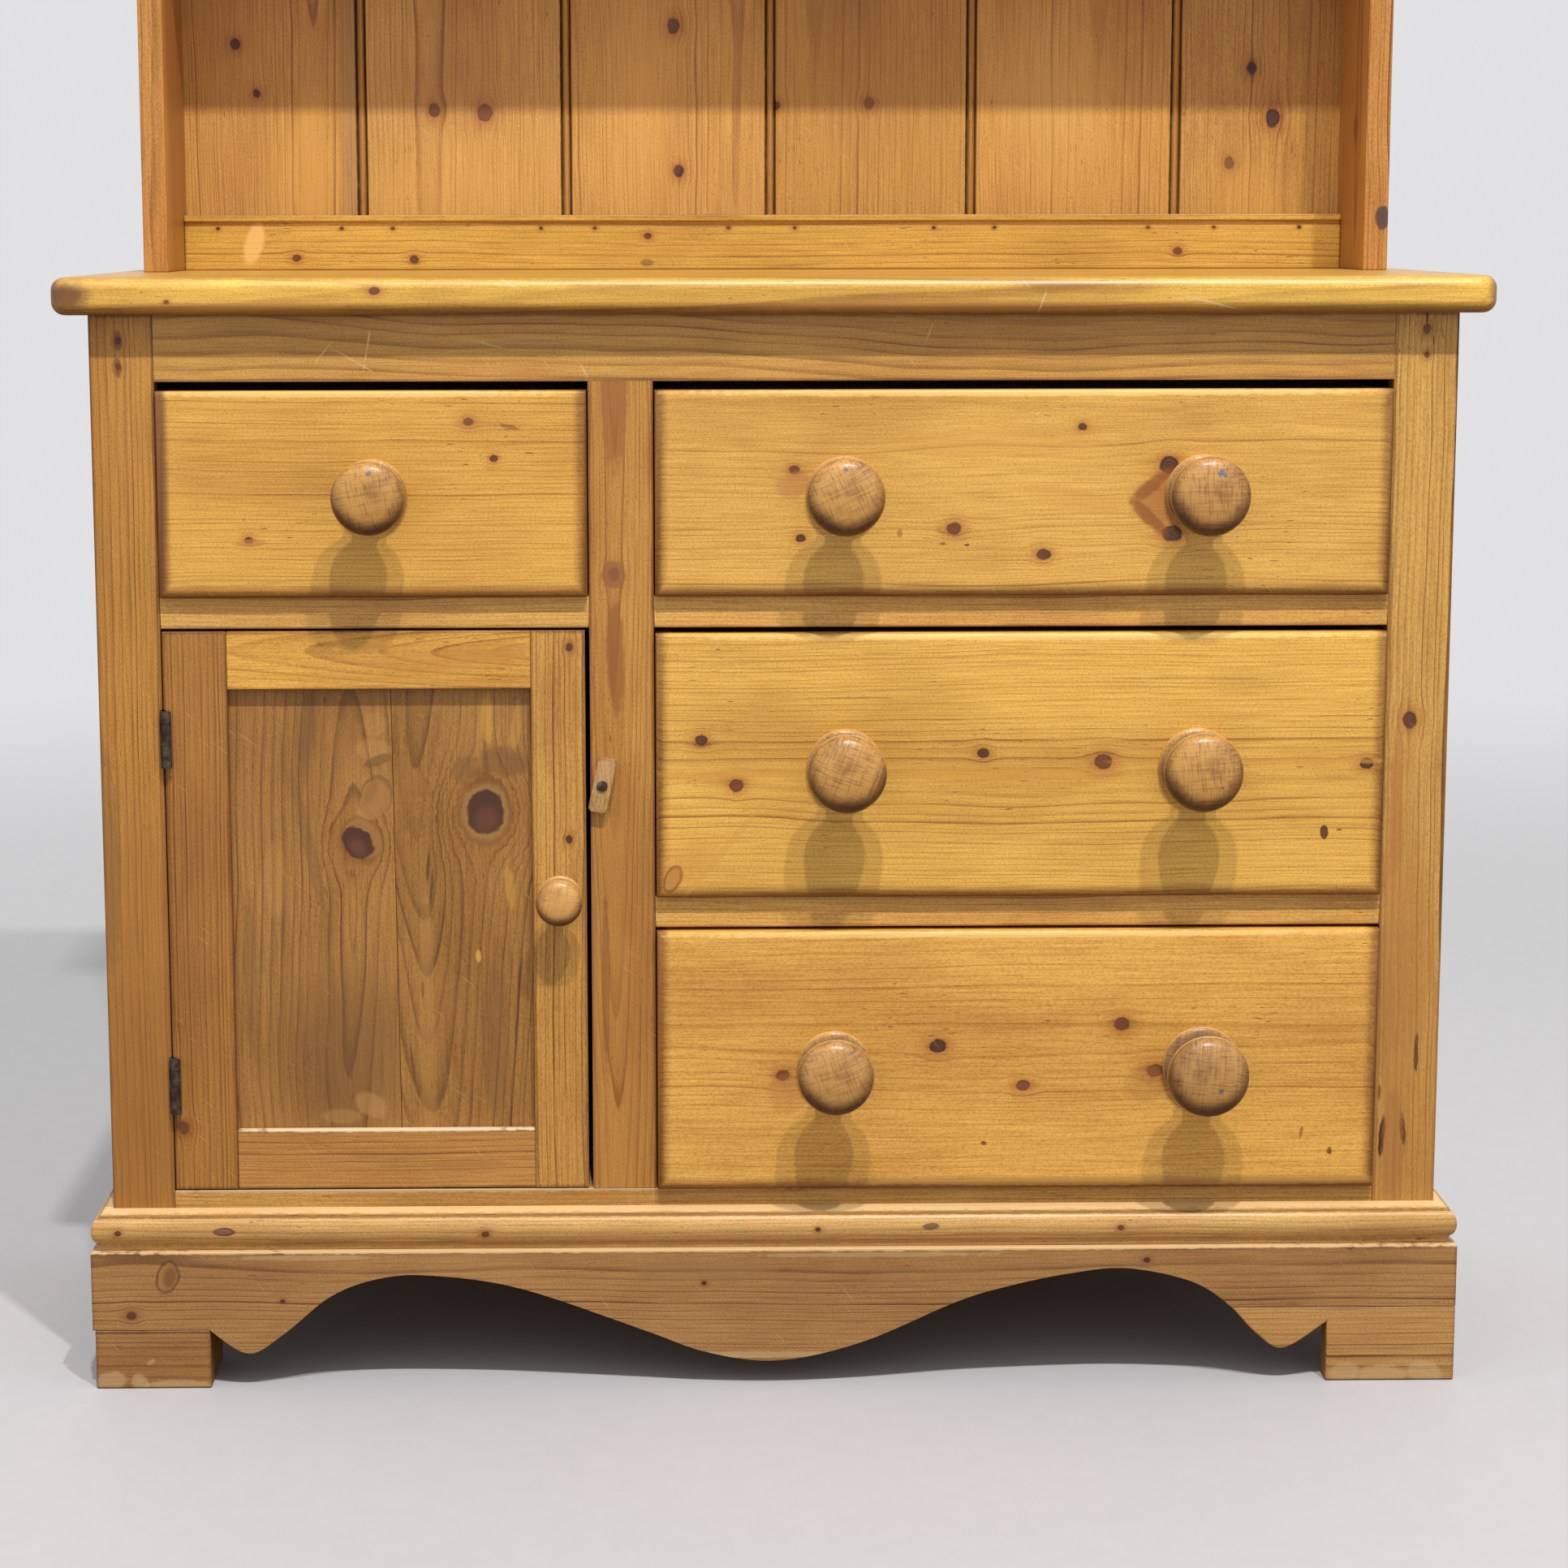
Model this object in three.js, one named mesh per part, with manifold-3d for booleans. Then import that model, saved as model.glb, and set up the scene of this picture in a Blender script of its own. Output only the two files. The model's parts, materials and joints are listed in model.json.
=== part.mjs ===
// A Welsh dresser in old waxed pine: a low cupboard of four drawers and one panelled door on a shaped
// plinth, with a shelf rack standing on its worktop. Millimetres, +Z up, the front faces -Y, and the
// origin is on the floor below the middle of the whole piece.

import * as THREE from "three";
import { mergeVertices } from "three/addons/utils/BufferGeometryUtils.js";
import Module from "manifold-3d";

const wasm = await Module();
wasm.setup();

// Driving dimensions of the base
const baseHeight = 890;
const baseDepth = 392;
const carcassWidth = 1069;
const worktopThickness = 29;
const worktopEndOverhang = 26.5;
const worktopFrontOverhang = 22.5;
const plinthHeight = 113;
const plinthThickness = 24;
const plinthProjection = 17;

// Driving dimensions of the front frame and its openings
const frameThickness = 22;
const stileWidth = 50;
const centreStileWidth = 51;
const centreStilePlace = -121.5;
const topRailHeight = 52;
const deckRailHeight = 25;
const bottomRailHeight = 47;
const lowerOpeningShare = 0.3581; // of the height that the three openings on the right share
const middleOpeningShare = 0.3606;

// Driving dimensions of the boards inside
const endPanelThickness = 20;
const partitionThickness = 20;
const deckThickness = 12;
const baseFloorThickness = 18;
const guideHeight = 22;
const backBoardThickness = 12;
const backBoardRise = 10;

// Driving dimensions of the rack
const rackHeight = 1040;
const rackDepth = 137;
const rackInset = 7.5;
const rackSideThickness = 20.5;
const shelfThickness = 18;
const lowerBayHeight = 324.5;
const middleBayHeight = 290;

// Clearances
const seatGap = 0.3; // between a turned or let-in piece and what holds it
const drawerSideClearance = 1.1;
const drawerSeatClearance = 0.5;
const drawerRearSpace = 14; // between a closed drawer and the boards of the back
const cutOverrun = 5; // how far a cutting shape runs past the face that it opens
const pointTolerance = 0.001;

// Joinery shared by the front frame and the door
const tenonThickness = 8;
const tenonLength = 18;
const tenonShoulder = 5;

// Places worked out from the driving dimensions
const halfCarcass = carcassWidth / 2;
const carcassTop = baseHeight - worktopThickness;
const openingLeft = -halfCarcass + stileWidth;
const openingRight = halfCarcass - stileWidth;
const centreLeft = centreStilePlace - centreStileWidth / 2;
const centreRight = centreStilePlace + centreStileWidth / 2;
const floorTop = plinthHeight + bottomRailHeight;
const topRailBottom = carcassTop - topRailHeight;
const openingsHeight = topRailBottom - floorTop - 2 * deckRailHeight;
const lowerDeckTop = floorTop + openingsHeight * lowerOpeningShare + deckRailHeight;
const upperDeckTop = lowerDeckTop + openingsHeight * middleOpeningShare + deckRailHeight;
const doorOpeningTop = upperDeckTop - deckRailHeight;
const panelInnerFace = halfCarcass - endPanelThickness;
const boardFront = baseDepth - backBoardThickness;
const partitionLeft = centreStilePlace - partitionThickness / 2;
const partitionRight = centreStilePlace + partitionThickness / 2;

// Shapes

// A closed three.js geometry as a solid that can be joined and cut.
function solid(geometry) {
  const bare = geometry.index ? geometry.toNonIndexed() : geometry.clone();
  bare.deleteAttribute("normal");
  bare.deleteAttribute("uv");
  const merged = mergeVertices(bare, pointTolerance);
  return new wasm.Manifold(
    new wasm.Mesh({
      numProp: 3,
      vertProperties: merged.attributes.position.array,
      triVerts: new Uint32Array(merged.index.array),
    }),
  );
}

// A board or bar between two places on each axis, each given as [low, high].
function block(x, y, z) {
  const geometry = new THREE.BoxGeometry(1, 1, 1);
  const corner = geometry.attributes.position;
  for (let i = 0; i < corner.count; i += 1) {
    const right = corner.getX(i) > 0 ? 1 : 0;
    const rear = corner.getY(i) > 0 ? 1 : 0;
    const upper = corner.getZ(i) > 0 ? 1 : 0;
    corner.setXYZ(i, x[right], y[rear], z[upper]);
  }
  return solid(geometry);
}

// An outline in the plane across one axis, carried along that axis from low to high.
function prism(axis, outline, [low, high], curveSegments = 4) {
  const isShape = outline instanceof THREE.Shape;
  const shape = isShape ? outline : new THREE.Shape(outline.map(([a, b]) => new THREE.Vector2(a, b)));
  const geometry = new THREE.ExtrudeGeometry(shape, { depth: 1, bevelEnabled: false, curveSegments });
  const corner = geometry.attributes.position;
  for (let i = 0; i < corner.count; i += 1) {
    const a = corner.getX(i);
    const b = corner.getY(i);
    const far = corner.getZ(i) > 0;
    if (axis === "x") corner.setXYZ(i, far ? high : low, a, b);
    else if (axis === "y") corner.setXYZ(i, a, far ? low : high, b);
    else corner.setXYZ(i, a, b, far ? high : low);
  }
  return solid(geometry);
}

// A turning: radius against length, revolved and laid along an axis. Lengths on the y axis run to the front.
function turned(axis, profile, sides) {
  const points = profile.map(([radius, length]) => new THREE.Vector2(radius, length));
  const geometry = new THREE.LatheGeometry(points, sides);
  geometry.rotateX(axis === "y" ? Math.PI : Math.PI / 2);
  return solid(geometry);
}

// A plain round bar for pins, screws and the holes that take them.
function bar(axis, radius, [low, high], sides) {
  return turned(axis, [[0, low], [radius, low], [radius, high], [0, high]], sides);
}

// A moulding mitred round the front and both ends: each profile point is [reach outwards, height].
function mitredMoulding(profile, halfWidth, front, back) {
  const stations = [
    (reach) => [-halfWidth - reach, back],
    (reach) => [-halfWidth - reach, front - reach],
    (reach) => [halfWidth + reach, front - reach],
    (reach) => [halfWidth + reach, back],
  ];
  const positions = stations.flatMap((station) =>
    profile.flatMap(([reach, height]) => [...station(reach), height]),
  );
  const count = profile.length;
  const faces = [];
  for (let station = 0; station < stations.length - 1; station += 1) {
    for (let i = 0; i < count; i += 1) {
      const a = station * count + i;
      const b = station * count + ((i + 1) % count);
      faces.push(a, b + count, b, a, a + count, b + count);
    }
  }
  const last = (stations.length - 1) * count;
  const section = profile.map(([reach, height]) => new THREE.Vector2(reach, height));
  for (const [a, b, c] of THREE.ShapeUtils.triangulateShape(section, [])) {
    faces.push(a, b, c, last + a, last + c, last + b);
  }
  const geometry = new THREE.BufferGeometry();
  geometry.setAttribute("position", new THREE.Float32BufferAttribute(positions, 3));
  geometry.setIndex(faces);
  return solid(geometry);
}

const grown = ([low, high], gap) => [low - gap, high + gap];
const around = (middle, size) => [middle - size / 2, middle + size / 2];
const joined = (first, ...others) => others.reduce((whole, other) => whole.add(other), first);
const cutBy = (first, ...others) => others.reduce((whole, other) => whole.subtract(other), first);

// Finishes
const honeyPine = { color: 0xd9a04e, roughness: 0.45, metalness: 0 };
const amberPine = { color: 0xc08540, roughness: 0.5, metalness: 0 };
const dustyPine = { color: 0xc59a5f, roughness: 0.65, metalness: 0 };
const knobPine = { color: 0xb07a3c, roughness: 0.4, metalness: 0 };
const rawPine = { color: 0xcfa873, roughness: 0.75, metalness: 0 };
const darkIron = { color: 0x3a322e, roughness: 0.6, metalness: 0.85 };

// A named sub-part with a material of its own.
function piece(name, shape, finish) {
  const { vertProperties, triVerts } = shape.getMesh();
  const shared = new THREE.BufferGeometry();
  shared.setAttribute("position", new THREE.BufferAttribute(vertProperties, 3));
  shared.setIndex(new THREE.BufferAttribute(triVerts, 1));
  const geometry = shared.toNonIndexed();
  geometry.computeVertexNormals();
  const mesh = new THREE.Mesh(geometry, new THREE.MeshStandardMaterial(finish));
  mesh.name = name;
  return mesh;
}

const dresser = new THREE.Group();

// Front frame: three stiles and two long rails, tenoned together
const frameDepth = [0, frameThickness];
const tenonDepth = around(frameThickness / 2, tenonThickness);
const topRailSpan = [topRailBottom, carcassTop];
const bottomRailSpan = [plinthHeight, floorTop];
const lowerDeckRailSpan = [lowerDeckTop - deckRailHeight, lowerDeckTop];
const upperDeckRailSpan = [upperDeckTop - deckRailHeight, upperDeckTop];

// The two tenons of a rail that runs from left to right, grown by a gap when they cut their mortises.
function railTenons(left, right, span, gap = 0) {
  const height = grown(grown(span, -tenonShoulder), gap);
  const depth = grown(tenonDepth, gap);
  return [
    block([left - tenonLength - gap, left + gap], depth, height),
    block([right - gap, right + tenonLength + gap], depth, height),
  ];
}

// The two tenons of the centre stile, which stand up into the top rail and down into the bottom rail.
function centreTenons(gap = 0) {
  const width = grown(grown([centreLeft, centreRight], -tenonShoulder), gap);
  const depth = grown(tenonDepth, gap);
  return [
    block(width, depth, [topRailBottom - gap, topRailBottom + tenonLength + gap]),
    block(width, depth, [floorTop - tenonLength - gap, floorTop + gap]),
  ];
}

function frontRail(left, right, span) {
  return joined(block([left, right], frameDepth, span), ...railTenons(left, right, span));
}

const longRail = (span) => cutBy(frontRail(openingLeft, openingRight, span), ...centreTenons(seatGap));

const longRailMortises = [
  ...railTenons(openingLeft, openingRight, topRailSpan, seatGap),
  ...railTenons(openingLeft, openingRight, bottomRailSpan, seatGap),
];
const leftDeckMortises = railTenons(openingLeft, centreLeft, upperDeckRailSpan, seatGap);
const rightDeckMortises = [
  ...railTenons(centreRight, openingRight, upperDeckRailSpan, seatGap),
  ...railTenons(centreRight, openingRight, lowerDeckRailSpan, seatGap),
];

// Butt hinges: where they stand, and the recesses that their leaves are let into
const hingeLength = 45;
const upperHingeDrop = 87.5; // from the top of the door's opening to the hinge's middle
const lowerHingeRise = 87;
const hingeCentreHeights = { upper: doorOpeningTop - upperHingeDrop, lower: floorTop + lowerHingeRise };
const hingeKnuckles = 5;
const hingeBarrelRadius = 4;
const hingePinRadius = 2;
const hingeLeafThickness = 1.5;
const hingeLeafWidth = 18;
const hingeAxisFromStile = 3.3;
const hingeSides = 16;
const doorHingeGap = 0.8;
const hingeAxisX = openingLeft + hingeAxisFromStile;
const hingeAxisY = -hingeBarrelRadius - seatGap;
const doorLeft = openingLeft + doorHingeGap;

// The seat of one leaf in the edge of the stile or of the door.
function leafRecess(edge, into, height) {
  const deep = hingeLeafThickness + seatGap;
  const x = into < 0 ? [edge - deep, edge + cutOverrun] : [edge - cutOverrun, edge + deep];
  const y = [-cutOverrun, hingeLeafWidth + seatGap];
  return block(x, y, around(height, hingeLength + 2 * seatGap));
}

const hingeHeights = Object.values(hingeCentreHeights);
dresser.add(
  piece(
    "left_front_stile",
    cutBy(
      block([-halfCarcass, openingLeft], frameDepth, [plinthHeight, carcassTop]),
      longRailMortises[0],
      longRailMortises[2],
      leftDeckMortises[0],
      ...hingeHeights.map((height) => leafRecess(openingLeft, -1, height)),
    ),
    amberPine,
  ),
  piece(
    "right_front_stile",
    cutBy(
      block([openingRight, halfCarcass], frameDepth, [plinthHeight, carcassTop]),
      longRailMortises[1],
      longRailMortises[3],
      rightDeckMortises[1],
      rightDeckMortises[3],
    ),
    amberPine,
  ),
  piece("top_front_rail", longRail(topRailSpan), amberPine),
  piece("bottom_front_rail", longRail(bottomRailSpan), amberPine),
);

// Turn button: a pale wooden toggle on a slotted screw, turned here nearly upright, clear of the door
const buttonLength = 44;
const buttonWidth = 14.5;
const buttonThickness = 9;
const buttonCornerCut = 2.5;
const buttonRampDepth = 2.5;
const buttonRampShare = 1 / 3;
const buttonScrewX = -137.5;
const buttonScrewDrop = 125;
const buttonScrewHeight = doorOpeningTop - buttonScrewDrop;
const buttonTurn = THREE.MathUtils.degToRad(12);
const screwShankRadius = 2;
const screwHeadRadius = 4.3;
const screwHeadRise = 1.8;
const screwHeadCrown = 0.7;
const screwSlotWidth = 1.2;
const screwSlotDepth = 0.9;
const screwDepth = 14;
const screwSides = 16;
const screwHoleSpan = [-screwDepth - seatGap, buttonThickness + cutOverrun];
const screwHole = bar("y", screwShankRadius + seatGap, screwHoleSpan, screwSides);

dresser.add(
  piece(
    "centre_stile",
    cutBy(
      joined(block([centreLeft, centreRight], frameDepth, [floorTop, topRailBottom]), ...centreTenons()),
      leftDeckMortises[1],
      rightDeckMortises[0],
      rightDeckMortises[2],
      screwHole.translate([buttonScrewX, 0, buttonScrewHeight]),
    ),
    amberPine,
  ),
);

function turnButton() {
  const halfLength = buttonLength / 2;
  const halfWidth = buttonWidth / 2;
  const inLength = halfLength - buttonCornerCut;
  const inWidth = halfWidth - buttonCornerCut;
  const outline = [
    [-inWidth, -halfLength],
    [inWidth, -halfLength],
    [halfWidth, -inLength],
    [halfWidth, inLength],
    [inWidth, halfLength],
    [-inWidth, halfLength],
    [-halfWidth, inLength],
    [-halfWidth, -inLength],
  ];
  const front = -seatGap - buttonThickness;
  const rampTop = -halfLength + buttonLength * buttonRampShare;
  const ramp = prism(
    "x",
    [
      [front - cutOverrun, rampTop],
      [front, rampTop],
      [front + buttonRampDepth, -halfLength],
      [front + buttonRampDepth, -halfLength - cutOverrun],
      [front - cutOverrun, -halfLength - cutOverrun],
    ],
    grown([-halfWidth, halfWidth], cutOverrun),
  );
  return cutBy(prism("y", outline, [front, -seatGap]), ramp, screwHole);
}

function buttonScrew() {
  const headSeat = buttonThickness + 2 * seatGap;
  const crown = headSeat + screwHeadRise;
  const screw = turned(
    "y",
    [
      [0, -screwDepth],
      [screwShankRadius, -screwDepth],
      [screwShankRadius, headSeat],
      [screwHeadRadius, headSeat],
      [screwHeadRadius, crown - screwHeadCrown],
      [screwHeadRadius / 2, crown - screwHeadCrown / 4],
      [0, crown],
    ],
    screwSides,
  );
  const slot = block(
    around(0, screwSlotWidth),
    [-crown - cutOverrun, -crown + screwSlotDepth],
    grown(around(0, 2 * screwHeadRadius), cutOverrun),
  );
  return cutBy(screw, slot);
}

for (const [name, shape, finish] of [
  ["turn_button", turnButton(), rawPine],
  ["turn_button_screw", buttonScrew(), darkIron],
]) {
  const mesh = piece(name, shape, finish);
  mesh.position.set(buttonScrewX, 0, buttonScrewHeight);
  mesh.rotation.y = buttonTurn;
  dresser.add(mesh);
}

// Carcass: two end panels, a partition behind the centre stile, the floor and the boarded back
const rebateDepth = 10;
const carcassDepth = [frameThickness, baseDepth];
const insideDepth = [frameThickness, boardFront];
const backRebate = [boardFront, baseDepth + cutOverrun];
const carcassSpan = [plinthHeight, carcassTop];
const backEdge = panelInnerFace + rebateDepth;
dresser.add(
  piece(
    "left_end_panel",
    cutBy(
      block([-halfCarcass, -panelInnerFace], carcassDepth, carcassSpan),
      block([-backEdge, -panelInnerFace + cutOverrun], backRebate, grown(carcassSpan, cutOverrun)),
    ),
    amberPine,
  ),
  piece(
    "right_end_panel",
    cutBy(
      block([panelInnerFace, halfCarcass], carcassDepth, carcassSpan),
      block([panelInnerFace - cutOverrun, backEdge], backRebate, grown(carcassSpan, cutOverrun)),
    ),
    amberPine,
  ),
  piece(
    "centre_partition",
    block([partitionLeft, partitionRight], insideDepth, [floorTop, carcassTop]),
    rawPine,
  ),
);

// A strip beside a drawer that keeps it running straight, standing on the board that carries the drawer.
function guide(left, right, level) {
  return block([left, right], insideDepth, [level - deckThickness / 2, level + guideHeight]);
}
dresser.add(
  piece(
    "base_floor",
    joined(
      block([-panelInnerFace, panelInnerFace], insideDepth, [floorTop - baseFloorThickness, floorTop]),
      guide(partitionRight, centreRight, floorTop),
      guide(openingRight, panelInnerFace, floorTop),
    ),
    rawPine,
  ),
);

// Drawer decks: a front rail, a runner along each side, a dust board between them, and a guide on each runner
const runnerBearing = 14;

function deck(name, wallLeft, left, right, wallRight, level) {
  const height = [level - deckRailHeight, level];
  const backing = [frameThickness / 2, frameThickness + deckThickness];
  const deckParts = [
    block([left, right], backing, height),
    block([wallLeft, left + runnerBearing], insideDepth, height),
    block([right - runnerBearing, wallRight], insideDepth, height),
    block([wallLeft, wallRight], insideDepth, [level - deckThickness, level]),
    guide(wallLeft, left, level),
    guide(right, wallRight, level),
  ];
  return piece(name, joined(frontRail(left, right, height), ...deckParts), amberPine);
}

dresser.add(
  deck("small_drawer_deck", -panelInnerFace, openingLeft, centreLeft, partitionLeft, upperDeckTop),
  deck("upper_drawer_deck", partitionRight, centreRight, openingRight, panelInnerFace, upperDeckTop),
  deck("lower_drawer_deck", partitionRight, centreRight, openingRight, panelInnerFace, lowerDeckTop),
);

// Boards set edge to edge, with a vee at each joint on the face that turns to the back.
const veeWidth = 4;
const veeDepth = 2;
const baseBackBoards = 7;
function vees(joints, face) {
  return joints.flatMap((joint) => [
    [joint + veeWidth / 2, face],
    [joint, face - veeDepth],
    [joint - veeWidth / 2, face],
  ]);
}
function evenJoints(half, boards) {
  return Array.from({ length: boards - 1 }, (_, i) => half - ((i + 1) * 2 * half) / boards);
}
const baseBackHalf = backEdge - seatGap;
const baseBackOutline = [
  [-baseBackHalf, boardFront],
  [baseBackHalf, boardFront],
  [baseBackHalf, baseDepth],
  ...vees(evenJoints(baseBackHalf, baseBackBoards), baseDepth),
  [-baseBackHalf, baseDepth],
];
const baseBackSpan = [backBoardRise, carcassTop];
dresser.add(piece("base_back_boards", prism("z", baseBackOutline, baseBackSpan), rawPine));

// Worktop: one board, rounded in plan at the front corners and along the front and end edges
const worktopCornerRadius = 16;
const worktopEdgeRadius = 10;
const worktopEdgeSteps = 6;
const worktopHalf = halfCarcass + worktopEndOverhang;

function worktop() {
  const half = worktopHalf - worktopEdgeRadius;
  const front = -worktopFrontOverhang + worktopEdgeRadius;
  const back = baseDepth + worktopEdgeRadius + cutOverrun;
  const corner = worktopCornerRadius - worktopEdgeRadius;
  const outline = new THREE.Shape();
  outline.moveTo(half, back);
  outline.lineTo(-half, back);
  outline.absarc(-half + corner, front + corner, corner, Math.PI, (3 * Math.PI) / 2);
  outline.absarc(half - corner, front + corner, corner, (3 * Math.PI) / 2, 2 * Math.PI);
  const geometry = new THREE.ExtrudeGeometry(outline, {
    depth: worktopThickness - 2 * worktopEdgeRadius,
    bevelThickness: worktopEdgeRadius,
    bevelSize: worktopEdgeRadius,
    bevelSegments: worktopEdgeSteps,
    curveSegments: worktopEdgeSteps,
  });
  geometry.translate(0, 0, carcassTop + worktopEdgeRadius);
  const slabWidth = grown([-worktopHalf, worktopHalf], cutOverrun);
  const slab = block(slabWidth, [-baseDepth, baseDepth], [carcassTop, baseHeight]);
  return solid(geometry).intersect(slab);
}
dresser.add(piece("worktop", worktop(), honeyPine));

// Plinth: a shaped front apron and two ends under the carcass, with blocks let in at the feet
const plinthHalf = halfCarcass + plinthProjection;
const plinthFront = -plinthProjection;
const plinthBoardRear = plinthFront + plinthThickness;
const plinthEndInner = plinthHalf - plinthThickness;
const footInnerShares = { left: 0.8283, right: 0.8105 }; // of half the plinth's width
const leftFootInner = -plinthHalf * footInnerShares.left;
const rightFootInner = plinthHalf * footInnerShares.right;
const leftFootHeight = 48.4;
const rightFootHeight = 62;
const leftFootInset = 2;
const sideFootLength = 77;
const sideArchHeight = 66;
const apronCurveSteps = 6;

// The apron's lower edge from foot to foot, as shares of half the plinth's width and of its height.
const apronShares = [
  [-0.773, 0.249],
  [-0.72, 0.395],
  [-0.652, 0.666],
  [-0.583, 0.795],
  [-0.506, 0.819],
  [-0.374, 0.719],
  [-0.193, 0.404],
  [-0.102, 0.239],
  [0.003, 0.173],
  [0.127, 0.307],
  [0.263, 0.596],
  [0.34, 0.713],
  [0.43, 0.805],
  [0.513, 0.842],
  [0.605, 0.75],
  [0.66, 0.59],
  [0.707, 0.351],
  [0.748, 0.241],
];
const notchShares = { left: 0.42, right: 0.436 };

function apronBoard() {
  const outline = new THREE.Shape();
  const scaled = apronShares.map(([across, up]) => new THREE.Vector2(across * plinthHalf, up * plinthHeight));
  const notch = new THREE.Vector2(rightFootInner, notchShares.right * plinthHeight);
  outline.moveTo(-plinthHalf, 0);
  outline.lineTo(leftFootInner, 0);
  outline.lineTo(leftFootInner, notchShares.left * plinthHeight);
  outline.splineThru([...scaled, notch]);
  outline.lineTo(rightFootInner, 0);
  outline.lineTo(plinthHalf, 0);
  outline.lineTo(plinthHalf, plinthHeight);
  outline.lineTo(-plinthHalf, plinthHeight);
  return prism("y", outline, [plinthFront, plinthBoardRear], apronCurveSteps);
}

const apronDepth = grown([plinthFront, plinthBoardRear], cutOverrun);
const leftFootZone = block(
  [-plinthHalf - cutOverrun, leftFootInner],
  apronDepth,
  [-cutOverrun, leftFootHeight],
);
const rightFootZone = block(
  [plinthHalf / 2, plinthHalf + cutOverrun],
  apronDepth,
  [-cutOverrun, rightFootHeight],
);
const sideFootRear = plinthFront + sideFootLength;

// The arch under one end of the plinth, with a quarter round at each foot.
function sideArch() {
  const rear = baseDepth - sideFootLength;
  const outline = new THREE.Shape();
  outline.moveTo(sideFootRear, -cutOverrun);
  outline.lineTo(rear, -cutOverrun);
  outline.lineTo(rear, 0);
  outline.quadraticCurveTo(rear, sideArchHeight, rear - sideArchHeight, sideArchHeight);
  outline.lineTo(sideFootRear + sideArchHeight, sideArchHeight);
  outline.quadraticCurveTo(sideFootRear, sideArchHeight, sideFootRear, 0);
  return outline;
}
const plinthEndDepth = [plinthBoardRear, baseDepth];
const archWidth = grown([-plinthHalf, plinthHalf], cutOverrun);
const leftFootWidth = [-plinthHalf + leftFootInset, leftFootInner];
const leftFootDepth = [plinthFront, sideFootRear];

dresser.add(
  piece("plinth_front", cutBy(apronBoard(), leftFootZone, rightFootZone), dustyPine),
  piece("right_foot_block", apronBoard().intersect(rightFootZone), dustyPine),
  piece("left_foot_block", block(leftFootWidth, leftFootDepth, [0, leftFootHeight]), dustyPine),
  piece(
    "plinth_left_end",
    cutBy(
      block([-plinthHalf, -plinthEndInner], plinthEndDepth, [0, plinthHeight]),
      prism("x", sideArch(), archWidth),
      block(grown(leftFootWidth, cutOverrun), leftFootDepth, [-cutOverrun, leftFootHeight]),
    ),
    dustyPine,
  ),
  piece(
    "plinth_right_end",
    cutBy(
      block([plinthEndInner, plinthHalf], plinthEndDepth, [0, plinthHeight]),
      prism("x", sideArch(), archWidth),
    ),
    dustyPine,
  ),
);

// Plinth moulding: a roll between a quirk and a sloping fillet, mitred round the foot of the carcass
const mouldingHeight = 33;
const mouldingFoot = 10;
const mouldingQuirk = 6;
const rollHeight = 22;
const rollReach = 16.3;
const rollInset = 9.5;
const filletDrop = 3.5;
const rollSteps = 13;

function rollProfile(base) {
  const middle = base + mouldingQuirk + rollHeight / 2;
  const roll = Array.from({ length: rollSteps + 1 }, (_, i) => {
    const angle = -Math.PI / 2 + (i * Math.PI) / rollSteps;
    const reach = rollInset + (rollReach - rollInset) * Math.cos(angle);
    return [reach, middle + (rollHeight / 2) * Math.sin(angle)];
  });
  return [
    [0, base],
    [mouldingFoot, base],
    [mouldingFoot, base + mouldingQuirk],
    ...roll,
    [rollInset, base + mouldingHeight - filletDrop],
    [0, base + mouldingHeight],
  ];
}
const plinthMoulding = mitredMoulding(rollProfile(plinthHeight), halfCarcass, 0, baseDepth);
dresser.add(piece("plinth_moulding", plinthMoulding, dustyPine));

// Turned knobs: a spigot let into the wood, a wide base flange, a long waist and a domed head with a rim
const knobHeadRadius = 31;
const knobProjection = 54;
const knobSpigotLength = 15;
const knobSides = 24;
// Each turning point: share of the head's radius, share of the projection.
const knobProfileShares = [
  [0.94, 0],
  [0.97, 0.05],
  [0.93, 0.11],
  [0.6, 0.16],
  [0.47, 0.25],
  [0.47, 0.42],
  [0.62, 0.55],
  [0.95, 0.67],
  [1, 0.71],
  [0.97, 0.745],
  [0.955, 0.765],
  [0.975, 0.8],
  [0.93, 0.87],
  [0.78, 0.935],
  [0.4, 0.985],
];
const knobSpigotShare = 0.33;

function knob(sizeShare) {
  const radius = knobHeadRadius * sizeShare;
  const projection = knobProjection * sizeShare;
  const spigot = radius * knobSpigotShare;
  return turned(
    "y",
    [
      [0, -knobSpigotLength],
      [spigot, -knobSpigotLength],
      [spigot, seatGap],
      ...knobProfileShares.map(([out, along]) => [radius * out, seatGap + (projection - seatGap) * along]),
      [0, projection],
    ],
    knobSides,
  );
}

function knobHole(sizeShare) {
  const radius = knobHeadRadius * sizeShare * knobSpigotShare + seatGap;
  return bar("y", radius, [-knobSpigotLength - seatGap, cutOverrun], knobSides);
}

// Drawers
const drawerProud = 9; // how far a closed drawer's face stands out from the frame
const drawerLength = boardFront - drawerRearSpace + drawerProud;
const drawerFrontThickness = 20;
const drawerSideThickness = 12;
const drawerBottomThickness = 8;
const drawerBottomRise = 7;
const drawerGrooveDepth = 5;
const drawerBackDrop = 12;
const frontChamferWidth = 6;
const frontChamferDepth = 3;
const frontChamferSteps = 2;
const dovetailLap = 6;
const dovetailPitch = 52;
const dovetailWidth = 26;
const dovetailFlare = 3;
const tongueInset = 2;

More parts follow.
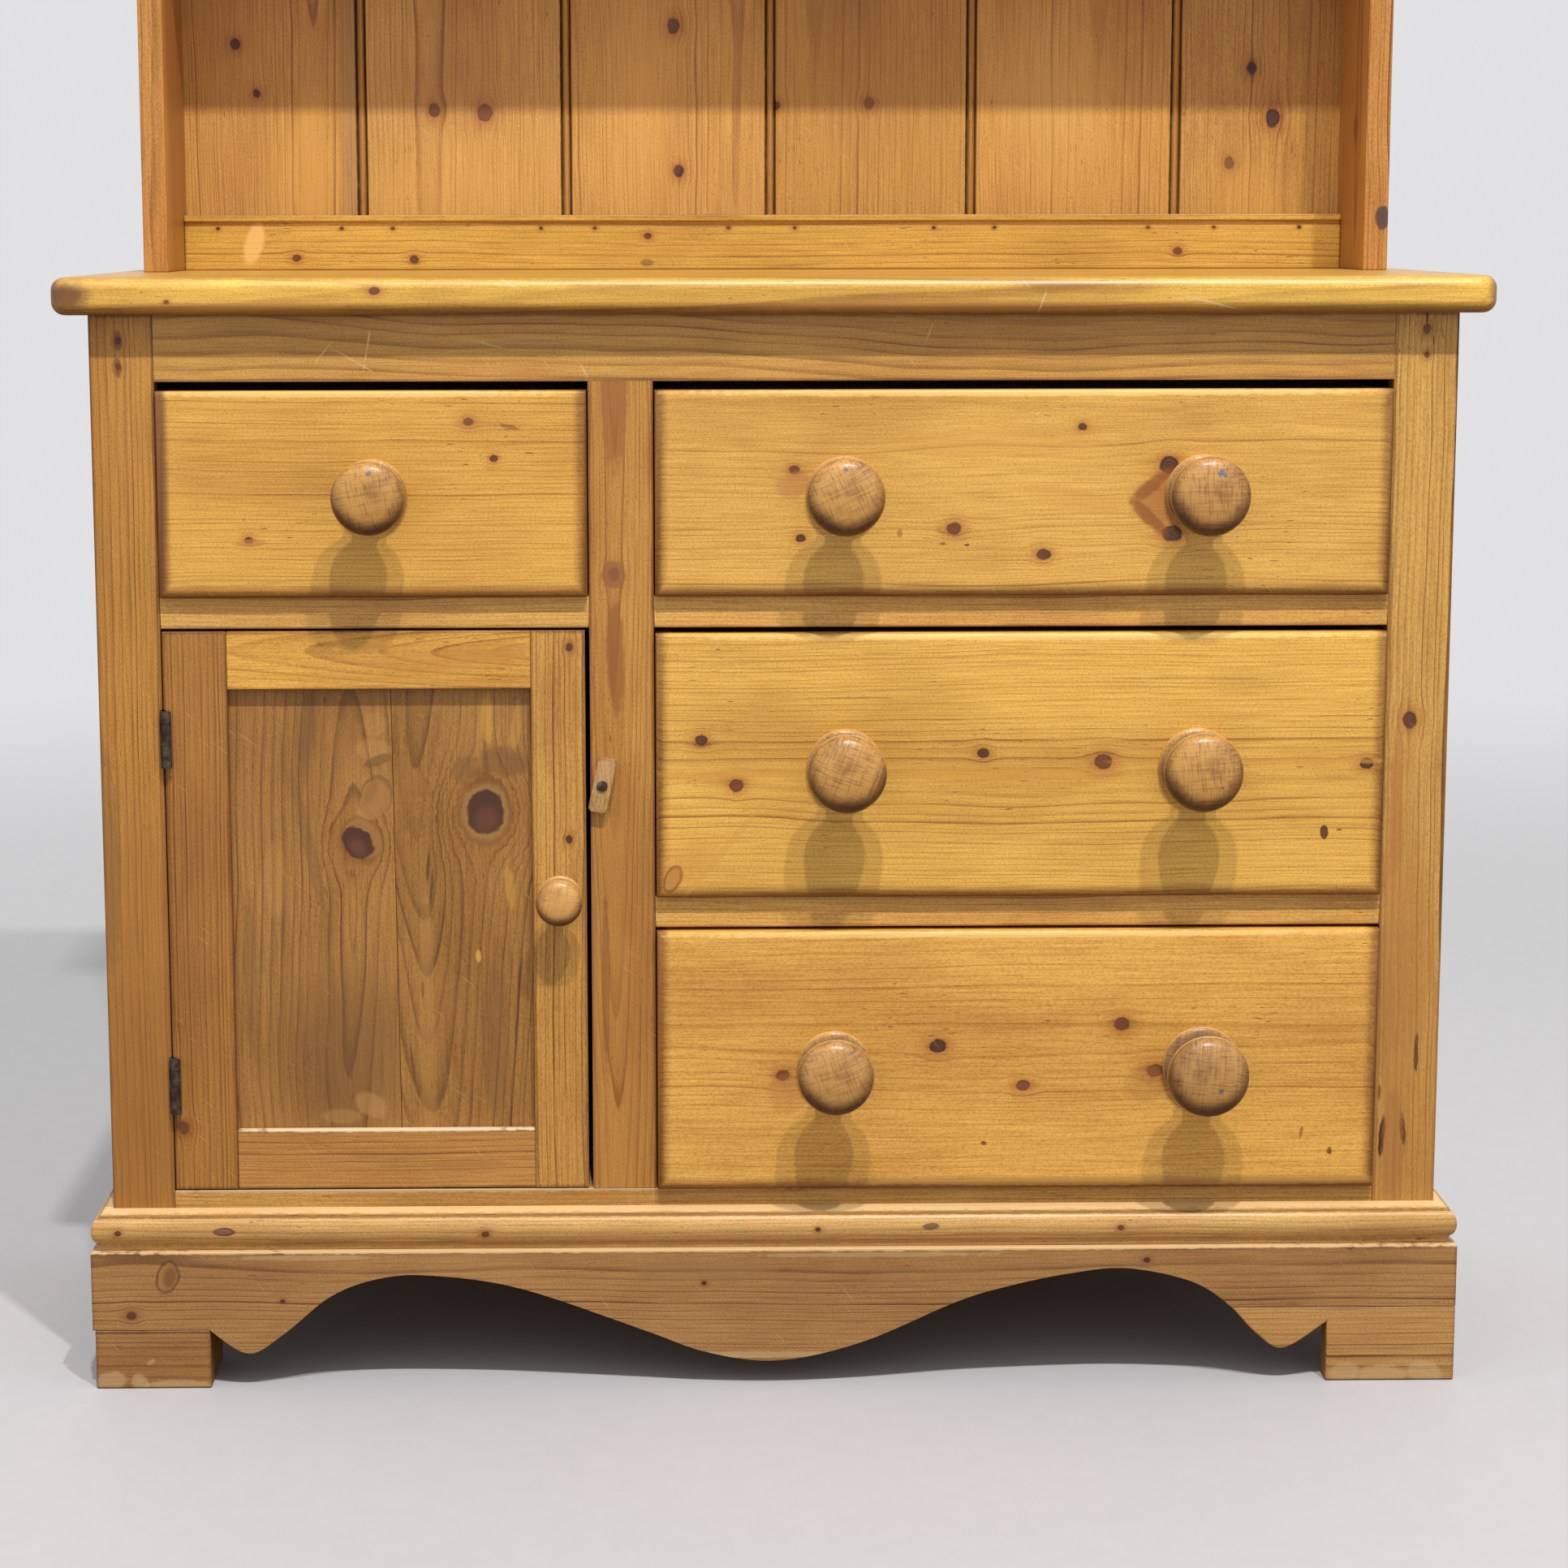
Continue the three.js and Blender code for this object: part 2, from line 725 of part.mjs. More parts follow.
// The front board, with its face rounded off along all four edges.
function drawerFrontBoard(width, height) {
  const outline = new THREE.Shape();
  outline.moveTo(-width / 2 + frontChamferWidth, frontChamferWidth);
  outline.lineTo(width / 2 - frontChamferWidth, frontChamferWidth);
  outline.lineTo(width / 2 - frontChamferWidth, height - frontChamferWidth);
  outline.lineTo(-width / 2 + frontChamferWidth, height - frontChamferWidth);
  const geometry = new THREE.ExtrudeGeometry(outline, {
    depth: drawerFrontThickness,
    bevelThickness: frontChamferDepth,
    bevelSize: frontChamferWidth,
    bevelSegments: frontChamferSteps,
  });
  geometry.rotateX(Math.PI / 2);
  geometry.translate(0, frontChamferDepth + drawerFrontThickness, 0);
  const behind = block(
    grown([-width / 2, width / 2], cutOverrun),
    [drawerFrontThickness, 2 * drawerFrontThickness + cutOverrun],
    grown([0, height], cutOverrun),
  );
  return cutBy(solid(geometry), behind);
}

// The dovetails at the front of the drawer's sides, grown by a gap when they cut their sockets.
function dovetails(width, height, gap) {
  const count = Math.max(2, Math.round(height / dovetailPitch));
  const pitch = height / count;
  const narrow = dovetailWidth / 2 + gap;
  const wide = narrow + dovetailFlare;
  const front = dovetailLap + seatGap - gap;
  const rear = drawerFrontThickness + (gap > 0 ? cutOverrun : drawerSideThickness / 2);
  const tails = [];
  for (const side of [-1, 1]) {
    const outer = (side * width) / 2;
    const inner = outer - side * (drawerSideThickness + gap);
    const past = outer + side * (gap > 0 ? cutOverrun : 0);
    const span = side < 0 ? [past, inner] : [inner, past];
    for (let i = 0; i < count; i += 1) {
      const middle = (i + 1 / 2) * pitch;
      const outline = [
        [front, middle - wide],
        [drawerFrontThickness, middle - narrow],
        [rear, middle - narrow],
        [rear, middle + narrow],
        [drawerFrontThickness, middle + narrow],
        [front, middle + wide],
      ];
      tails.push(prism("x", outline, span));
    }
  }
  return tails;
}

function drawer(prefix, left, right, floor, ceiling, headroom, knobs) {
  const width = right - left - 2 * drawerSideClearance;
  const height = ceiling - headroom - floor - drawerSeatClearance;
  const half = width / 2;
  const inner = half - drawerSideThickness;
  const grooved = half - drawerSideThickness + drawerGrooveDepth;
  const grooveHeight = grown([drawerBottomRise, drawerBottomRise + drawerBottomThickness], seatGap);
  const runDepth = [drawerFrontThickness, drawerLength];
  const tongueHalf = inner - tongueInset;
  const tongueFront = drawerFrontThickness - drawerGrooveDepth;

  const front = cutBy(
    drawerFrontBoard(width, height),
    ...dovetails(width, height, seatGap),
    block([-tongueHalf, tongueHalf], [tongueFront, drawerFrontThickness + cutOverrun], grooveHeight),
    ...knobs.map(({ across, up, sizeShare }) => knobHole(sizeShare).translate([across, 0, height / 2 + up])),
  );
  const box = cutBy(
    joined(
      block([-half, -inner], runDepth, [0, height]),
      block([inner, half], runDepth, [0, height]),
      block(
        [-half, half],
        [drawerLength - drawerSideThickness, drawerLength],
        [drawerBottomRise + drawerBottomThickness + seatGap, height - drawerBackDrop],
      ),
      ...dovetails(width, height, 0),
    ),
    block([-grooved, grooved], [drawerFrontThickness, drawerLength + cutOverrun], grooveHeight),
  );
  const bottom = joined(
    block(
      [-grooved + seatGap, grooved - seatGap],
      [drawerFrontThickness + seatGap, drawerLength],
      [drawerBottomRise, drawerBottomRise + drawerBottomThickness],
    ),
    block(
      [-tongueHalf + seatGap, tongueHalf - seatGap],
      [tongueFront + seatGap, drawerFrontThickness + cutOverrun],
      [drawerBottomRise, drawerBottomRise + drawerBottomThickness],
    ),
  );

  const group = new THREE.Group();
  group.add(
    piece(`${prefix}_front`, front, honeyPine),
    piece(`${prefix}_box`, box, rawPine),
    piece(`${prefix}_bottom`, bottom, rawPine),
  );
  for (const { name, across, up, sizeShare } of knobs) {
    const mesh = piece(name, knob(sizeShare), knobPine);
    mesh.position.set(across, 0, height / 2 + up);
    group.add(mesh);
  }
  group.position.set((left + right) / 2, -drawerProud, floor + drawerSeatClearance);
  return group;
}

// How far a drawer's knobs stand from its middle, and the play above each drawer.
const upperDrawer = { headroom: 7, spread: 141, rise: 0 };
const middleDrawer = { headroom: 4.5, spread: 139.5, rise: 0 };
const lowerDrawer = { headroom: 2.5, spread: 147.5, rise: -4 };
const knobSizeShares = { small: 0.935, upper: [0.985, 1.005], middle: [1.005, 1.01], lower: [0.98, 1.05] };

function knobPair(prefix, { spread, rise }, [leftShare, rightShare]) {
  return [
    { name: `${prefix}_knob_left`, across: -spread, up: rise, sizeShare: leftShare },
    { name: `${prefix}_knob_right`, across: spread, up: rise, sizeShare: rightShare },
  ];
}

dresser.add(
  drawer("small_drawer", openingLeft, centreLeft, upperDeckTop, topRailBottom, upperDrawer.headroom, [
    { name: "small_drawer_knob", across: 0, up: 0, sizeShare: knobSizeShares.small },
  ]),
);
for (const [prefix, floor, ceiling, sizes, shares] of [
  ["upper_drawer", upperDeckTop, topRailBottom, upperDrawer, knobSizeShares.upper],
  ["middle_drawer", lowerDeckTop, upperDeckTop - deckRailHeight, middleDrawer, knobSizeShares.middle],
  ["lower_drawer", floorTop, lowerDeckTop - deckRailHeight, lowerDrawer, knobSizeShares.lower],
]) {
  const knobs = knobPair(prefix, sizes, shares);
  dresser.add(drawer(prefix, centreRight, openingRight, floor, ceiling, sizes.headroom, knobs));
}

// Door: a frame of two stiles and two rails round a flat panel held in a groove
const doorThickness = 20;
const doorHingeStileWidth = 50.5;
const doorLockStileWidth = 43;
const doorTopRailHeight = 46.5;
const doorBottomRailHeight = 49;
const doorLockGap = 3.6;
const doorTopGap = 2;
const doorBottomGap = 0.8;
const doorPanelThickness = 8;
const doorPanelRecess = 8;
const doorGrooveDepth = 8;
const doorKnobSizeShare = 0.6;
const doorKnobDrop = 216.5;

const doorRight = centreLeft - doorLockGap;
const doorBottom = floorTop + doorBottomGap;
const doorTop = doorOpeningTop - doorTopGap;
const doorKnobHeight = doorOpeningTop - doorKnobDrop;
const doorDepth = [0, doorThickness];
const fieldLeft = doorLeft + doorHingeStileWidth;
const fieldRight = doorRight - doorLockStileWidth;
const fieldBottom = doorBottom + doorBottomRailHeight;
const fieldTop = doorTop - doorTopRailHeight;
const doorTenonDepth = around(doorPanelRecess + doorPanelThickness / 2, tenonThickness);
const panelDepth = [doorPanelRecess, doorPanelRecess + doorPanelThickness];
const panelSeat = block(
  grown([fieldLeft, fieldRight], doorGrooveDepth + seatGap),
  grown(panelDepth, seatGap),
  grown([fieldBottom, fieldTop], doorGrooveDepth + seatGap),
);

// The tenons of a door rail run clear of the panel's groove.
function doorTenons([low, high], gap = 0) {
  const isBottom = low < fieldBottom;
  const clearLow = isBottom ? low : fieldTop + doorGrooveDepth;
  const clearHigh = isBottom ? fieldBottom - doorGrooveDepth : high;
  const height = grown(grown([clearLow, clearHigh], -tenonShoulder), gap);
  const depth = grown(doorTenonDepth, gap);
  return [
    block([fieldLeft - tenonLength - gap, fieldLeft + gap], depth, height),
    block([fieldRight - gap, fieldRight + tenonLength + gap], depth, height),
  ];
}
const doorTopSpan = [fieldTop, doorTop];
const doorBottomSpan = [doorBottom, fieldBottom];
function doorRail(span) {
  return cutBy(joined(block([fieldLeft, fieldRight], doorDepth, span), ...doorTenons(span)), panelSeat);
}
const doorMortises = [...doorTenons(doorTopSpan, seatGap), ...doorTenons(doorBottomSpan, seatGap)];
const doorKnobX = fieldRight + doorLockStileWidth / 2;

const doorKnob = piece("door_knob", knob(doorKnobSizeShare), knobPine);
doorKnob.position.set(doorKnobX, 0, doorKnobHeight);
dresser.add(
  piece(
    "door_hinge_stile",
    cutBy(
      block([doorLeft, fieldLeft], doorDepth, [doorBottom, doorTop]),
      panelSeat,
      doorMortises[0],
      doorMortises[2],
      ...hingeHeights.map((height) => leafRecess(doorLeft, 1, height)),
    ),
    amberPine,
  ),
  piece(
    "door_lock_stile",
    cutBy(
      block([fieldRight, doorRight], doorDepth, [doorBottom, doorTop]),
      panelSeat,
      doorMortises[1],
      doorMortises[3],
      knobHole(doorKnobSizeShare).translate([doorKnobX, 0, doorKnobHeight]),
    ),
    amberPine,
  ),
  piece("door_top_rail", doorRail(doorTopSpan), honeyPine),
  piece("door_bottom_rail", doorRail(doorBottomSpan), honeyPine),
  piece(
    "door_panel",
    block(
      grown([fieldLeft, fieldRight], doorGrooveDepth),
      panelDepth,
      grown([fieldBottom, fieldTop], doorGrooveDepth),
    ),
    amberPine,
  ),
  doorKnob,
);

// Hinge leaves: knuckles taken in turn along one pin, each joined to its own leaf by a tongue
const knucklePitch = hingeLength / hingeKnuckles;

function knuckles(isOwn) {
  const spans = [];
  for (let i = 0; i < hingeKnuckles; i += 1) {
    const low = -hingeLength / 2 + i * knucklePitch;
    if (isOwn(i)) spans.push([low + seatGap / 2, low + knucklePitch - seatGap / 2]);
  }
  return spans;
}

// One leaf round its pin at the origin, with its plate lying against the edge at plateX.
function hingeLeaf(plateX, own, pinned) {
  const plateFront = -hingeAxisY + seatGap;
  const plateRear = -hingeAxisY + hingeLeafWidth;
  const plate = block(plateX, [plateFront, plateRear], [-hingeLength / 2, hingeLength / 2]);
  const barrels = own.map((span) => bar("z", hingeBarrelRadius, span, hingeSides));
  const tongues = own.map((span) => block(plateX, [0, plateFront + hingeLeafThickness], span));
  const leaf = joined(plate, ...barrels, ...tongues);
  const pinSpan = [-hingeLength / 2, hingeLength / 2];
  const bore = bar("z", hingePinRadius + seatGap, grown(pinSpan, cutOverrun), hingeSides);
  const pin = bar("z", hingePinRadius, pinSpan, hingeSides);
  return pinned ? leaf.add(pin) : leaf.subtract(bore);
}

const framePlate = [openingLeft - hingeLeafThickness, openingLeft].map((x) => x - hingeAxisX);
const doorPlate = [doorLeft, doorLeft + hingeLeafThickness].map((x) => x - hingeAxisX);
for (const [level, height] of Object.entries(hingeCentreHeights)) {
  for (const [name, shape] of [
    [`${level}_hinge_frame_leaf`, hingeLeaf(framePlate, knuckles((i) => i % 2 === 0), true)],
    [`${level}_hinge_door_leaf`, hingeLeaf(doorPlate, knuckles((i) => i % 2 === 1), false)],
  ]) {
    const mesh = piece(name, shape, darkIron);
    mesh.position.set(hingeAxisX, hingeAxisY, height);
    dresser.add(mesh);
  }
}

// Rack: two plank sides, two grooved shelves, a top board and a beaded back, with a cornice over a frieze
const housingDepth = 6;
const rackRebate = 9;
const rackBackRailHeight = 42;
const rackBackRailThickness = 18;
const rackStripHeight = 5.5;
const rackStripRise = 3;
const shelfFrontInset = 4;
const plateGrooveWidth = 8;
const plateGrooveDepth = 3;
const plateGrooveFromBack = 42;
const friezeHeight = 92;
const friezeThickness = 18;
const beadWidth = 6;
const beadSteps = 4;
const quirkWidth = 2;
const quirkDepth = 4;
const rackTop = baseHeight + rackHeight;
const rackOuter = halfCarcass - rackInset;
const rackInner = rackOuter - rackSideThickness;
const rackFront = baseDepth - rackDepth;
const rackBoardFront = baseDepth - backBoardThickness;
const lowerShelfBottom = baseHeight + lowerBayHeight;
const upperShelfBottom = lowerShelfBottom + shelfThickness + middleBayHeight;
const topBoardBottom = rackTop - shelfThickness;
const shelfDepth = [rackFront + shelfFrontInset, rackBoardFront];
const shelfBottoms = [lowerShelfBottom, upperShelfBottom, topBoardBottom];
// Where the joints of the six back boards fall, as shares of half the width between the sides.
const rackJointShares = [-0.694, -0.341, 0.012, 0.36, 0.715];

function rackSide(side) {
  const x = side < 0 ? [-rackOuter, -rackInner] : [rackInner, rackOuter];
  const edge = side * rackInner;
  const intoSide = (depth) => [edge + side * depth, edge - side * cutOverrun].sort((a, b) => a - b);
  const housings = shelfBottoms.map((bottom) =>
    block(
      intoSide(housingDepth + seatGap),
      [shelfDepth[0] - seatGap, rackBoardFront + cutOverrun],
      grown([bottom, bottom + shelfThickness], seatGap),
    ),
  );
  const rebateDepthSpan = [rackBoardFront, baseDepth + cutOverrun];
  const rebate = block(intoSide(rackRebate), rebateDepthSpan, grown([baseHeight, rackTop], cutOverrun));
  return cutBy(block(x, [rackFront, baseDepth], [baseHeight, rackTop]), rebate, ...housings);
}

function shelf(bottom, grooved) {
  const half = rackInner + housingDepth;
  const board = block([-half, half], shelfDepth, [bottom, bottom + shelfThickness]);
  const middle = rackBoardFront - plateGrooveFromBack;
  const top = bottom + shelfThickness;
  const groove = prism(
    "x",
    [
      [middle - plateGrooveWidth / 2, top],
      [middle - plateGrooveWidth / 4, top - plateGrooveDepth],
      [middle + plateGrooveWidth / 4, top - plateGrooveDepth],
      [middle + plateGrooveWidth / 2, top],
      [middle + plateGrooveWidth / 2, top + cutOverrun],
      [middle - plateGrooveWidth / 2, top + cutOverrun],
    ],
    grown([-half, half], cutOverrun),
  );
  return grooved ? cutBy(board, groove) : board;
}

// A bead worked on the edge of one board between two quirks, where it meets the next board.
function bead(joint, face) {
  const radius = beadWidth / 2;
  const round = Array.from({ length: beadSteps + 1 }, (_, i) => {
    const angle = Math.PI - (i * Math.PI) / beadSteps;
    return [joint + radius * Math.cos(angle), face + radius - radius * Math.sin(angle)];
  });
  return [
    [joint - radius - quirkWidth, face],
    [joint - radius - quirkWidth / 2, face + quirkDepth],
    ...round,
    [joint + radius + quirkWidth / 2, face + quirkDepth],
    [joint + radius + quirkWidth, face],
  ];
}

const rackBoardHalf = rackInner + rackRebate - seatGap;
const rackJoints = rackJointShares.map((share) => share * rackInner);
const rackBoardOutline = [
  [-rackBoardHalf, rackBoardFront],
  ...rackJoints.flatMap((joint) => bead(joint, rackBoardFront)),
  [rackBoardHalf, rackBoardFront],
  [rackBoardHalf, baseDepth],
  ...vees([...rackJoints].reverse(), baseDepth),
  [-rackBoardHalf, baseDepth],
];

const railFront = rackBoardFront - rackBackRailThickness;
const railTop = baseHeight + rackBackRailHeight;
const railWidth = [-rackInner, rackInner];
const stripDepth = [railFront - rackStripRise, rackBoardFront];
const backRail = joined(
  block(railWidth, [railFront, rackBoardFront], [baseHeight, railTop]),
  block(railWidth, stripDepth, [railTop, railTop + rackStripHeight]),
);
const friezeDepth = [rackFront - friezeThickness, rackFront];

dresser.add(
  piece("rack_left_side", rackSide(-1), amberPine),
  piece("rack_right_side", rackSide(1), amberPine),
  piece("rack_lower_shelf", shelf(lowerShelfBottom, true), amberPine),
  piece("rack_upper_shelf", shelf(upperShelfBottom, true), amberPine),
  piece("rack_top_board", shelf(topBoardBottom, false), amberPine),
  piece("rack_back_boards", prism("z", rackBoardOutline, [baseHeight, rackTop]), amberPine),
  piece("rack_back_rail", backRail, amberPine),
  piece(
    "rack_frieze",
    block([-rackOuter, rackOuter], friezeDepth, [rackTop - friezeHeight, rackTop]),
    amberPine,
  ),
);

// Cornice: a hollow between two fillets, mitred round the head of the rack
const corniceHeight = 50;
const corniceReach = 30;
const corniceFillet = 8;
const corniceFoot = 5;
const corniceSteps = 8;
const corniceRise = 4;

function corniceProfile(top) {
  const base = top - corniceHeight;
  const hollowHeight = corniceHeight - 2 * corniceFillet;
  const hollowReach = corniceReach - 2 * corniceFoot;
  const hollow = Array.from({ length: corniceSteps + 1 }, (_, i) => {
    const angle = ((i / corniceSteps) * Math.PI) / 2;
    return [
      corniceFoot + hollowReach * (1 - Math.cos(angle)),
      base + corniceFillet + hollowHeight * Math.sin(angle),
    ];
  });
  const head = [
    [corniceReach, top - corniceFillet],
    [corniceReach, top],
    [0, top],
  ];
  return [[0, base], [corniceFoot, base], ...hollow, ...head];
}
const corniceFront = rackFront - friezeThickness;
const cornice = mitredMoulding(corniceProfile(rackTop + corniceRise), rackOuter, corniceFront, baseDepth);
dresser.add(piece("rack_cornice", cornice, amberPine));

// The face of the front frame lies at y = 0 above, so the whole piece is set back to stand over its middle.
const widestKnobShare = Math.max(...Object.values(knobSizeShares).flat());
const reachInFront = drawerProud + knobProjection * widestKnobShare;
dresser.position.y = (reachInFront - baseDepth) / 2;

export default dresser;
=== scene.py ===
import json
from math import pi, radians

import bmesh
import bpy
from mathutils import Matrix, Vector

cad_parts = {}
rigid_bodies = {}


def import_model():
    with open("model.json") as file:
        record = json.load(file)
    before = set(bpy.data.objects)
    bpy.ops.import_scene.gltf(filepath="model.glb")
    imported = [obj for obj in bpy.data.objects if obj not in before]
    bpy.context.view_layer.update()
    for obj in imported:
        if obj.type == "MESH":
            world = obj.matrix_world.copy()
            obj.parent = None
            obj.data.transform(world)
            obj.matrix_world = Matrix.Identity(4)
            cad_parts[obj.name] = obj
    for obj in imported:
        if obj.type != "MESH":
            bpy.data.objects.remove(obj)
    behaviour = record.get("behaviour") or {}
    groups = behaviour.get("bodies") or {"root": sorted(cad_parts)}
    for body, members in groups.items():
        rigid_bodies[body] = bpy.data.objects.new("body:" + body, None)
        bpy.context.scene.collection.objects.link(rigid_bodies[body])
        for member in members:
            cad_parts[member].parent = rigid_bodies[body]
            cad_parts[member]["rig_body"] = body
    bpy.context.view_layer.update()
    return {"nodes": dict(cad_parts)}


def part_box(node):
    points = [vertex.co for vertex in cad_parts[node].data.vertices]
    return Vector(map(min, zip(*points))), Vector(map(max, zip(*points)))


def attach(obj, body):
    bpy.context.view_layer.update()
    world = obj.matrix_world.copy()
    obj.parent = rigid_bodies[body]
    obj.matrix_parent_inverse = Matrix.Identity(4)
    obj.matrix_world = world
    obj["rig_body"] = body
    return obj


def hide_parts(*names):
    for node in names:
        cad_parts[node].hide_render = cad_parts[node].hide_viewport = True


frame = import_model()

# The view: standing in front of the dresser and a little to its left, at the height of its worktop,
# with the picture cut off inside the rack's lowest bay.
camera = bpy.data.objects.new("camera", bpy.data.cameras.new("camera"))
bpy.context.collection.objects.link(camera)
camera.location = (-0.0803, -2.96865, 0.9342)
degrees_down, degrees_rolled, degrees_right = 8.989, 0.089, 0.929
camera.rotation_euler = (radians(90 - degrees_down), radians(degrees_rolled), radians(-degrees_right))
camera.data.lens = 82.08
camera.data.sensor_width = 36
camera.data.shift_x = 0.0339
bpy.context.scene.camera = camera
bpy.context.scene.view_settings.view_transform = "Standard"

# The studio: two lamps high in front, which give each knob its two shadows, and pale air all round.
# The floor is a plain pale disc that fades out into the air.
lamp_size, lamp_power, lit_spot = 0.16, 252, Vector((0, -0.17, 0.5))
for name, place in (("left_spot", (0.14, -3.4, 6.64)), ("right_spot", (1.32, -3.4, 6.64))):
    lamp = bpy.data.objects.new(name, bpy.data.lights.new(name, "AREA"))
    lamp.data.size = lamp_size
    lamp.data.energy = lamp_power
    lamp.location = place
    lamp.rotation_euler = (lit_spot - Vector(place)).to_track_quat("-Z", "Y").to_euler()
    bpy.context.collection.objects.link(lamp)


def feed(tree, socket, value):
    if isinstance(value, bpy.types.NodeSocket):
        tree.links.new(value, socket)
    else:
        socket.default_value = value


def node(tree, kind, feeds=(), out=0, **settings):
    made = tree.nodes.new("ShaderNode" + kind)
    for key, value in settings.items():
        setattr(made, key, value)
    for key, value in feeds.items() if isinstance(feeds, dict) else enumerate(feeds):
        feed(tree, made.inputs[key], value)
    return made.outputs[out]


def calc(tree, operation, *values):
    return node(tree, "Math", values, operation=operation)


def fade(tree, value, start, end, low=0.0, high=1.0):
    return node(tree, "MapRange", (value, start, end, low, high), interpolation_type="SMOOTHSTEP")


def mixed(tree, share, first, second, how="MIX"):
    return node(tree, "Mix", {0: share, 6: first, 7: second}, 2, data_type="RGBA", blend_type=how)


def darkened(tree, colour, filter_tone):
    """A colour seen through a glaze of another tone."""
    return mixed(tree, 1.0, colour, tone(*filter_tone), "MULTIPLY")


def vector_calc(tree, operation, *values):
    return node(tree, "VectorMath", values, operation=operation)


def length_of(tree, vector):
    return node(tree, "VectorMath", (vector,), "Value", operation="LENGTH")


def split(tree, vector):
    """A vector's three coordinates, each on its own."""
    made = tree.nodes.new("ShaderNodeSeparateXYZ")
    feed(tree, made.inputs[0], vector)
    return made.outputs


def cloud(tree, place, stretch, detail=2.0, distortion=0.0):
    """Noise with so many clouds to the metre along each axis."""
    place = vector_calc(tree, "MULTIPLY", place, stretch)
    feeds = {"Vector": place, "Scale": 1.0, "Detail": detail, "Distortion": distortion}
    return node(tree, "TexNoise", feeds)


def tone(red, green, blue):
    """A colour as it is read off a screen, made linear."""
    shares = [value / 255 for value in (red, green, blue)]
    return [s / 12.92 if s <= 0.04045 else ((s + 0.055) / 1.055) ** 2.4 for s in shares] + [1]


def new_material(name):
    material = bpy.data.materials.new(name)
    material.use_nodes = True
    material.node_tree.nodes.clear()
    return material, material.node_tree


def finish_material(tree, surface):
    tree.links.new(surface, tree.nodes.new("ShaderNodeOutputMaterial").inputs[0])


world = bpy.data.worlds.new("studio_air")
bpy.context.scene.world = world
world.use_nodes = True
air = world.node_tree
air.nodes.clear()
rays = air.nodes.new("ShaderNodeLightPath").outputs
straight = calc(air, "MAXIMUM", rays["Is Camera Ray"], rays["Is Transmission Ray"])
seen_or_mirrored = calc(air, "MAXIMUM", straight, rays["Is Glossy Ray"])
lighting = node(air, "Background", {"Color": (0.97, 1, 1.03, 1), "Strength": 0.74})
backdrop = node(air, "Background", {"Color": (0.76, 0.75, 0.765, 1)})
choose = node(air, "MixShader", (seen_or_mirrored, lighting, backdrop))
air.links.new(choose, air.nodes.new("ShaderNodeOutputWorld").inputs[0])

bpy.ops.object.select_all(action="DESELECT")
bpy.ops.mesh.primitive_circle_add(vertices=96, radius=7, fill_type="NGON")
floor = bpy.context.object
floor.name = "floor"
floor_drop = 0.0004
floor.data.transform(Matrix.Translation((0, 0, -floor_drop)))
floor_paint, tree = new_material("pale_floor")
spot = node(tree, "TexCoord", out="Object")
speckle = cloud(tree, spot, (40, 40, 40), 4)
pale = mixed(tree, speckle, tone(180, 178, 178), tone(187, 185, 185))
seen = node(tree, "LightPath", out="Is Camera Ray")
bounced = tone(128, 112, 98)
matt = node(tree, "BsdfPrincipled", {"Base Color": mixed(tree, seen, bounced, pale), "Roughness": 0.6})
solid_to, gone_at = 1.6, 4.5
thin = fade(tree, length_of(tree, spot), solid_to, gone_at)
finish_material(tree, node(tree, "MixShader", (thin, matt, node(tree, "BsdfTransparent"))))
floor.data.materials.append(floor_paint)

# The plinth: a sawn apron board with two ogee arches, foot blocks let into it, and two arched end
# boards nailed behind it, under a roll moulding mitred round three sides. It is all waxed pine, gone
# dusty near the floor.
places, colours = ("Place", "Log", "Edge"), ("Colour", "Tint", "Early wood", "Late wood")


def new_group(name, takes, gives):
    """A node group with the named sockets: places, colours, and the rest plain numbers."""
    group = bpy.data.node_groups.new(name, "ShaderNodeTree")
    for titles, way in ((takes, "INPUT"), (gives, "OUTPUT")):
        for title in titles:
            kind = "Vector" if title in places else "Color" if title in colours else "Float"
            group.interface.new_socket(title, in_out=way, socket_type="NodeSocket" + kind)
    return group, group.nodes.new("NodeGroupInput").outputs, group.nodes.new("NodeGroupOutput").inputs


# One knot, as a round branch through the board: it pushes the growth rings aside.
knot_group, has, gives = new_group(
    "pine_knot",
    ("Place", "Bend", "Heart", "Halo", "Along", "Across", "Radius", "Push", "Ragged"),
    ("Bend", "Heart", "Halo"),
)
parts = split(knot_group, has["Place"])
along = calc(knot_group, "SUBTRACT", parts[0], has["Along"])
across = calc(knot_group, "SUBTRACT", parts[1], has["Across"])
flat = node(knot_group, "CombineXYZ", (calc(knot_group, "MULTIPLY", along, 0.82), across, 0.0))
away = calc(knot_group, "DIVIDE", length_of(knot_group, flat), has["Radius"])
away = calc(knot_group, "ADD", away, calc(knot_group, "MULTIPLY_ADD", has["Ragged"], 0.7, -0.35))


def bell(tree, value, width):
    """One where the value is nought, falling away over a width on both sides."""
    squared = calc(tree, "POWER", calc(tree, "DIVIDE", value, width), 2.0)
    return calc(tree, "POWER", 2.718, calc(tree, "MULTIPLY", squared, -1.0))


